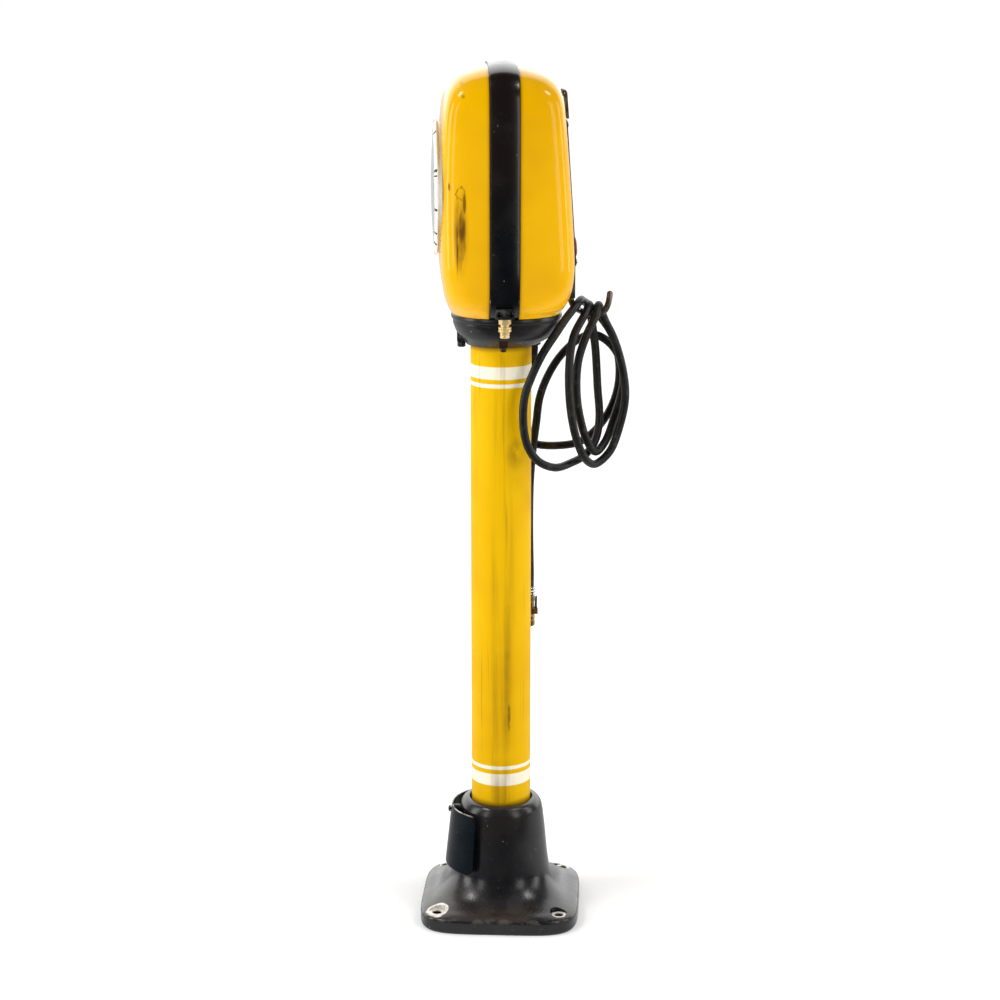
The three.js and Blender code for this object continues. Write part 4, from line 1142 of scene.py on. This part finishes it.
def build_needle():
    at_zero = DIAL_PLACE @ Matrix.Rotation(ZERO - TURN / 4, 4, "Z")
    outline = [(-4.2, -2), (-2.6, -18), (2.6, -18), (4.2, -2), (1.1, 70), (0, 73), (-1.1, 70)]
    blade = prism(eased(outline, 1.2), 3.1, 4.0, at_zero)
    hub = turned([(0, 2.9), (6.5, 2.9), (6.5, 4.6), (5.6, 5.4), (0, 5.4)], at_zero)
    carve(blade, [hub], "UNION")
    carve(blade, [plug(1.38, 0, 10, at_zero, 32)])
    stand_for(bevel(blade, 0.2, 2), "gauge_needle", "ink_black")


# ---- operating panel

PANEL_NORMAL = -Vector(JOINTS["air_button_press"]["axis"])
PANEL_UP = Vector((0, -PANEL_NORMAL.z, PANEL_NORMAL.y))
PANEL_PLACE = axes(centre("rear_panel"), (-1, 0, 0), PANEL_UP, PANEL_NORMAL)
PANEL_HALF_W = box("rear_panel")[1].x
PANEL_HALF_H = 103
PANEL_T = 3
BUTTON_DROP = -81
BUTTON_R = 14
COLLAR_R = 18


def build_panel():
    """A plate with a sunk field, and below it the button in its raised collar."""
    face = PANEL_T / 2
    plate = prism(rounded_outline(PANEL_HALF_W, PANEL_HALF_H, 10), -face, face, PANEL_PLACE)
    button_at = PANEL_PLACE @ Matrix.Translation((0, BUTTON_DROP, 0))
    field_at = PANEL_PLACE @ Matrix.Translation((0, 18, 0))
    field = prism(rounded_outline(PANEL_HALF_W - 7, 58, 6), face - 0.8, face + 5, field_at)
    screw_holes = [
        plug(2.3, -10, 10, PANEL_PLACE @ Matrix.Translation((x, y, 0)), 32)
        for x in (-42, 42)
        for y in (-97, 97)
    ]
    carve(plate, [plug(BUTTON_R + GAP, -10, 10, button_at), field, *screw_holes])
    stand_for(bevel(plate, 0.5), "rear_panel", "panel_black")
    for i in range(1, 5):
        build_screw(f"rear_panel_screw_{i}", PANEL_NORMAL, 4, 2.4, "steel", 0.9)
    collar = turned(
        [(BUTTON_R + GAP, face + GAP), (COLLAR_R, face + GAP), (COLLAR_R, face + 2),
         (COLLAR_R - 1, face + 3), (BUTTON_R + GAP, face + 3)],
        button_at, sides=96, ease=0.5, on_axis=False,
    )
    stand_for(collar, "button_collar", "chrome")
    button = turned(
        [(0, -34), (3, -34), (3, -4), (BUTTON_R, -4), (BUTTON_R, 5.4), (12.4, 7.0), (9.5, 7.2),
         (8.6, 6.7), (5, 6.4), (0, 6.4)],
        button_at, sides=96, ease=0.7,
    )
    stand_for(button, "air_button", "red_plastic")


def build_lever():
    """A pressed plate on two knuckles, hooked over its pin."""
    pin = joint_place("release_lever_swing")
    half = box("release_lever")[1].x
    side = crosswise(pin)
    knuckle, ear = 3.4, 10.6
    outline = [(-1.5, 4.6), (3.2, 5.2), (5.8, 1.5), (8.6, -35), (5.6, -36), (2.6, -6)]
    lever = prism(eased(outline, 1.4, 5), -half, half, side)
    carve(lever, [plug(knuckle, -half, half, side, 64)], "UNION")
    carve(lever, [
        plug(knuckle + 0.5, -ear, ear, side, 64),
        plug(1.68, -30, 30, side, 32),
        block((-ear, pin.y - 8, pin.z - 8), (ear, pin.y, pin.z + 8)),
    ])
    stand_for(bevel(lever, 0.35, 2), "release_lever", "weathered")
    build_pin("lever_pin", "release_lever_swing", 1.6, 32, 0.4)
    keep("lever_bracket", "weathered", 0.4)


# ---- hook, hose and chuck

HOOK_PATH = [
    (0, 101.2, 945), (0, 101.2, 941.4), (0, 102, 934), (0, 107, 925.5), (0, 118, 918.5),
    (0, 130, 914.5), (0, 141, 914), (0, 150, 919), (0, 156, 931), (0, 158.5, 949),
]
CHUCK = centre("hose_ferrule")
HOSE_END = box("hose_ferrule")[0].z + 2.2
HOSE_PATH = [
    (GLAND.x, GLAND.y, 871.2), (GLAND.x, GLAND.y, 867), (GLAND.x, GLAND.y, 859), (-38, 47, 832),
    (-52, 34, 790), (-60, 20, 750), (-62, 26, 724), (-54, 52, 712), (-40, 90, 712),
    (-34, 122, 720), (-34, 152, 748), (-35, 172, 788), (-37, 177, 830), (-36, 167, 875),
    (-34, 148, 905), (-28, 130, 924), (-15, 120, 932.5), (0, 116, 935.8),
    (14, 109, 931), (30, 92.5, 914), (44, 76, 893), (53, 57, 866), (58, 41, 834), (60, 31, 805),
    (60, 29, 766), (58, 36, 731), (52, 52, 708), (40, 77, 696), (22, 102, 699), (4, 124, 707),
    (-10, 140, 726), (-16, 146, 756), (-17, 143, 805), (-15, 139, 863), (-14, 134, 898),
    (-12, 131, 917.5), (0, 128, 929.2),
    (13.5, 122.5, 920), (34, 103, 888), (44, 96, 845), (47, 98, 785), (42, 108, 737),
    (30, 122, 706), (14, 138, 695), (3, 160, 711), (-3, 175, 748), (-5, 183, 792), (-5, 178, 835),
    (-7, 166, 876), (-14, 153, 903), (-12.5, 145.5, 921), (0, 141.5, 928),
    (13, 137, 916), (26, 121, 885), (31, 110, 850), (33, 108, 805), (30, 114, 765),
    (22, 125, 731), (8, 139, 712), (-8, 155, 725), (-18, 168, 757), (-20, 180, 800),
    (-21, 181, 826), (-22, 171, 855), (-25, 156, 872), (-30, 138, 880), (-38, 118, 873),
    (-46, 92, 848), (-48, 73, 818), (-44, 60, 785), (-36, 54, 746), (-31, 49, 710),
    (-30.5, 45, 660), (-30, 44, 600), (-29.5, 44.5, 555), (CHUCK.x, CHUCK.y, 522),
    (CHUCK.x, CHUCK.y, 505), (CHUCK.x, CHUCK.y, HOSE_END),
]
HOSE_R = 6
HOOK_R = 4.5
HOOK_TOP = 941.4


def build_hook():
    shank_y = HOOK_PATH[0][1]
    bar = tube(even(spline(HOOK_PATH, 12), 1.5), HOOK_R, 28, domed=True)
    carve(bar, [block((-20, 80, HOOK_TOP), (20, 125, 960))])
    carve(bar, [rod(2.5, (0, shank_y, 941.2), (0, shank_y, 950), 32)], "UNION")
    stand_for(bar, "hose_hook", "weathered", 45)
    keep("hook_housing", "cast_black", 1.2)


def build_hose():
    hose = tube(even(spline(HOSE_PATH, 16), 2.6), HOSE_R, 24)
    stand_for(hose, "inflation_hose", "hose_rubber", 50)


def build_ferrule():
    low, high = box("hose_ferrule")
    inner, outer, groove = HOSE_R + 2 * GAP, 7.8, 7.2
    profile = [(inner, low.z), (outer, low.z)]
    for k in range(3):
        z = low.z + 3.4 + 4.2 * k
        profile += [(outer, z), (groove, z + 0.5), (groove, z + 1.1), (outer, z + 1.6)]
    profile += [(outer, high.z), (inner, high.z)]
    ferrule = turned(profile, upright(CHUCK), sides=72, ease=0.3, on_axis=False)
    stand_for(ferrule, "hose_ferrule", "chrome")


def build_chuck():
    top = box("chuck_body")[1].z
    body = turned(
        [(0, 443), (4.4, 443), (4.4, 437), (6.4, 437), (7.4, 438.4), (7.4, 446), (6.9, 446.6),
         (6.9, 447.6), (7.4, 448.2), (7.4, 452), (6.2, 455), (6.2, 474), (7.2, 476), (7.2, top),
         (0, top)],
        upright(CHUCK),
    )
    pin = joint_place("chuck_lever_swing")
    ears = [
        block((CHUCK.x + a, pin.y - 5, 456), (CHUCK.x + b, pin.y + 2.5, 465))
        for a, b in ((-6, -3.2), (3.2, 6))
    ]
    carve(body, ears, "UNION")
    carve(body, [rod(1.3, (CHUCK.x - 20, pin.y, pin.z), (CHUCK.x + 20, pin.y, pin.z), 24)])
    stand_for(body, "chuck_body", "tarnished_brass", 40)
    low, high = box("chuck_seal")
    seal = [(1.8, low.z), (4.1, low.z), (4.1, high.z), (1.8, high.z)]
    seal = turned(seal, upright(CHUCK), sides=48, ease=0.5, on_axis=False)
    stand_for(seal, "chuck_seal", "hose_rubber")
    build_pin("chuck_lever_pin", "chuck_lever_swing", 1.2, 28, 0.3)
    keep("chuck_lever", "chrome", 0.4)


# ---- stage, in metres

WHITE = (1.0, 1.0, 1.0)
FLOOR_PALE = (0.90, 0.90, 0.90)
FLOOR_REACH = 60000  # millimetres
FLOOR_SINK = 0.0005
BACKDROP = 2.3  # how bright the backdrop is where the object mirrors it; the camera sees it as 1
SOFTBOX_FAR = 2.5
SOFTBOX_AIM = 0.75
# bearing from the coupler's side towards the hose, height, width, tall, radiance
SOFTBOXES = {
    "right_box": (40, 1.2, 0.7, 1.9, 2.6),
    "right_far_box": (84, 1.2, 0.6, 1.9, 3.8),
    "left_box": (-46, 1.2, 0.5, 1.9, 3.1),
    "left_far_box": (-84, 1.2, 0.7, 1.9, 5.1),
    "right_top_box": (58, 3.8, 0.9, 0.7, 14.0),
    "left_top_box": (-68, 3.8, 0.9, 0.7, 19.0),
}
CAMERA_FAR = 3.308
CAMERA_HIGH = 1.429
CAMERA_TURN = math.radians(3)  # towards the dial from straight side on
CAMERA_PITCH = math.radians(13.434)
CAMERA_LENS = 82.9
CAMERA_SENSOR = 36
CAMERA_SHIFT = -0.001
CAMERA_CLIP = (0.05, 300)


def build_floor():
    """A pale sweep that glows a little. Mirrored, it is dimmer the nearer it is to the camera."""
    look = Look("floor")
    look.finish(FLOOR_PALE, 0.9, shine=0.0)
    mirrored = look.node("ShaderNodeLightPath").outputs["Is Glossy Ray"]
    away = look.fade(look.distance((0.0, 0.0, 0.0), (1.0, 1.0, 1.0)), 0.2, 1.1, 0.14, 0.5)
    glow = look.times(away, look.fade(mirrored, 0.0, 1.0, 1.0, 0.0))
    look.feed(look.surface.inputs["Emission Color"], WHITE)
    look.feed(look.surface.inputs["Emission Strength"], glow)
    reflected = look.fade(look.x, 0.10, 0.60, 0.75, 0.03)
    look.swap(mirrored, look.node("ShaderNodeEmission", {0: WHITE, 1: reflected}))
    reach = FLOOR_REACH
    made = solid(
        [(-reach, -reach, 0), (reach, -reach, 0), (reach, reach, 0), (-reach, reach, 0)],
        [(0, 1, 2, 3)],
    )
    made.name = "floor"
    made.location.z = -FLOOR_SINK
    made.data.materials.append(look.material)


def build_world():
    """White to the camera. A bright backdrop behind gives light, and the room in front is dim."""
    world = bpy.data.worlds.new("studio")
    bpy.context.scene.world = world
    world.use_nodes = True
    sky = Nodes(world.node_tree)
    rays = sky.node("ShaderNodeLightPath").outputs
    place = sky.node("ShaderNodeTexCoord").outputs["Generated"]
    depth = sky.node("ShaderNodeSeparateXYZ", {0: place}).outputs[0]

    def choose(test, yes, no):
        return sky.maths("MULTIPLY_ADD", rays[test], sky.maths("SUBTRACT", yes, no), no)

    mirrored = sky.fade(depth, -0.50, -0.34, BACKDROP, 0.03)
    lighting = sky.fade(depth, -0.3, 0.8, 0.95, 0.10)
    background = world.node_tree.nodes["Background"].inputs
    sky.feed(background["Color"], WHITE)
    unseen = choose("Is Glossy Ray", mirrored, lighting)
    sky.feed(background["Strength"], choose("Is Camera Ray", 1.0, unseen))


def add_softbox(name, bearing, height, width, tall, radiance):
    """A soft light aimed at the object."""
    turn = math.radians(bearing)
    place = Vector((math.cos(turn), math.sin(turn), 0)) * SOFTBOX_FAR
    place.z = height
    aim = Vector((0, 0, min(height, SOFTBOX_AIM)))
    data = bpy.data.lights.new(name, "AREA")
    data.shape = "RECTANGLE"
    data.size = width
    data.size_y = tall
    data.energy = radiance * math.pi * width * tall
    made = linked(name, data)
    made.location = place
    made.rotation_euler = (aim - place).to_track_quat("-Z", "Y").to_euler()


def build_camera():
    data = bpy.data.cameras.new("camera")
    data.lens = CAMERA_LENS
    data.sensor_width = CAMERA_SENSOR
    data.shift_x = CAMERA_SHIFT
    data.clip_start, data.clip_end = CAMERA_CLIP
    made = linked("camera", data)
    out = Vector((math.cos(CAMERA_TURN), -math.sin(CAMERA_TURN), 0))
    made.location = out * CAMERA_FAR + Vector((0, 0, CAMERA_HIGH))
    looking = -out * math.cos(CAMERA_PITCH) - Vector((0, 0, math.sin(CAMERA_PITCH)))
    made.rotation_euler = looking.to_track_quat("-Z", "Y").to_euler()
    bpy.context.scene.camera = made
    bpy.context.scene.view_settings.view_transform = "Standard"


# ---- everything together

# clean colour, tarnished colour, roughness where clean, noise level where tarnish starts,
# grain, metalness
METALS = {
    "brass": ((0.80, 0.60, 0.28), (0.40, 0.25, 0.10), 0.34, 0.50, GRAIN, 0.55),
    "tarnished_brass": ((0.50, 0.33, 0.15), (0.20, 0.11, 0.05), 0.28, 0.42, GRAIN, 1.0),
    "copper": ((0.75, 0.38, 0.22), (0.30, 0.14, 0.08), 0.30, 0.50, GRAIN, 1.0),
    "steel": ((0.46, 0.44, 0.42), (0.20, 0.15, 0.11), 0.32, 0.50, GRAIN, 1.0),
    "screw_black": ((0.030, 0.032, 0.034), (0.012, 0.012, 0.012), 0.25, 0.50, GRAIN, 1.0),
    "rusty": ((0.09, 0.065, 0.06), (0.17, 0.06, 0.03), 0.45, 0.45, GRAIN, 1.0),
    "weathered": ((0.34, 0.30, 0.26), (0.13, 0.085, 0.06), 0.38, 0.40, GRAIN, 1.0),
    "chrome": ((0.82, 0.82, 0.83), (0.45, 0.42, 0.38), 0.08, 0.60, FINE_GRAIN, 1.0),
}
# fresh colour, faded colour, roughness where fresh
PLASTICS = {
    "white_enamel": ((0.86, 0.86, 0.84), (0.78, 0.76, 0.70), 0.24),
    "dial_white": ((0.56, 0.55, 0.51), (0.50, 0.48, 0.42), 0.45),
    "ink_black": ((0.010, 0.010, 0.011), (0.022, 0.021, 0.020), 0.42),
    "panel_black": ((0.012, 0.011, 0.011), (0.030, 0.022, 0.018), 0.36),
    "red_plastic": ((0.36, 0.035, 0.020), (0.28, 0.05, 0.03), 0.32),
}
PAINTS = (
    shell_yellow, column_yellow, band_black, cast_black, base_black, sheet_black, hose_rubber,
    clear_glass,
)
LOOKS = {paint.__name__: paint() for paint in PAINTS}
LOOKS.update({name: metal_look(name, *row) for name, row in METALS.items()})
LOOKS.update({name: plastic_look(name, *row) for name, row in PLASTICS.items()})
HIDDEN_NODES = [
    "column_clamp_screw", "supply_pipe", "inlet_union", "shell_tie_rod_1", "shell_tie_rod_2",
    "inner_frame", "hose_feed_pipe", "gauge_feed_pipe", "gauge_case", "gauge_socket",
    "bourdon_tube", "sector_gear", "sector_pin", "pointer_arbor", "movement_plate", "valve_block",
    "valve_spring",
]

for build in (
    build_base, build_cover, build_column, build_saddle, build_gland, build_regulator,
    build_coupler, build_shells, build_band, build_dial, build_needle, build_panel, build_lever,
    build_hook, build_hose, build_ferrule, build_chuck,
):
    build()
for hidden in HIDDEN_NODES:
    keep(hidden, SLOT_OF[hidden])
build_floor()
build_world()
for softbox, row in SOFTBOXES.items():
    add_softbox(softbox, *row)
build_camera()
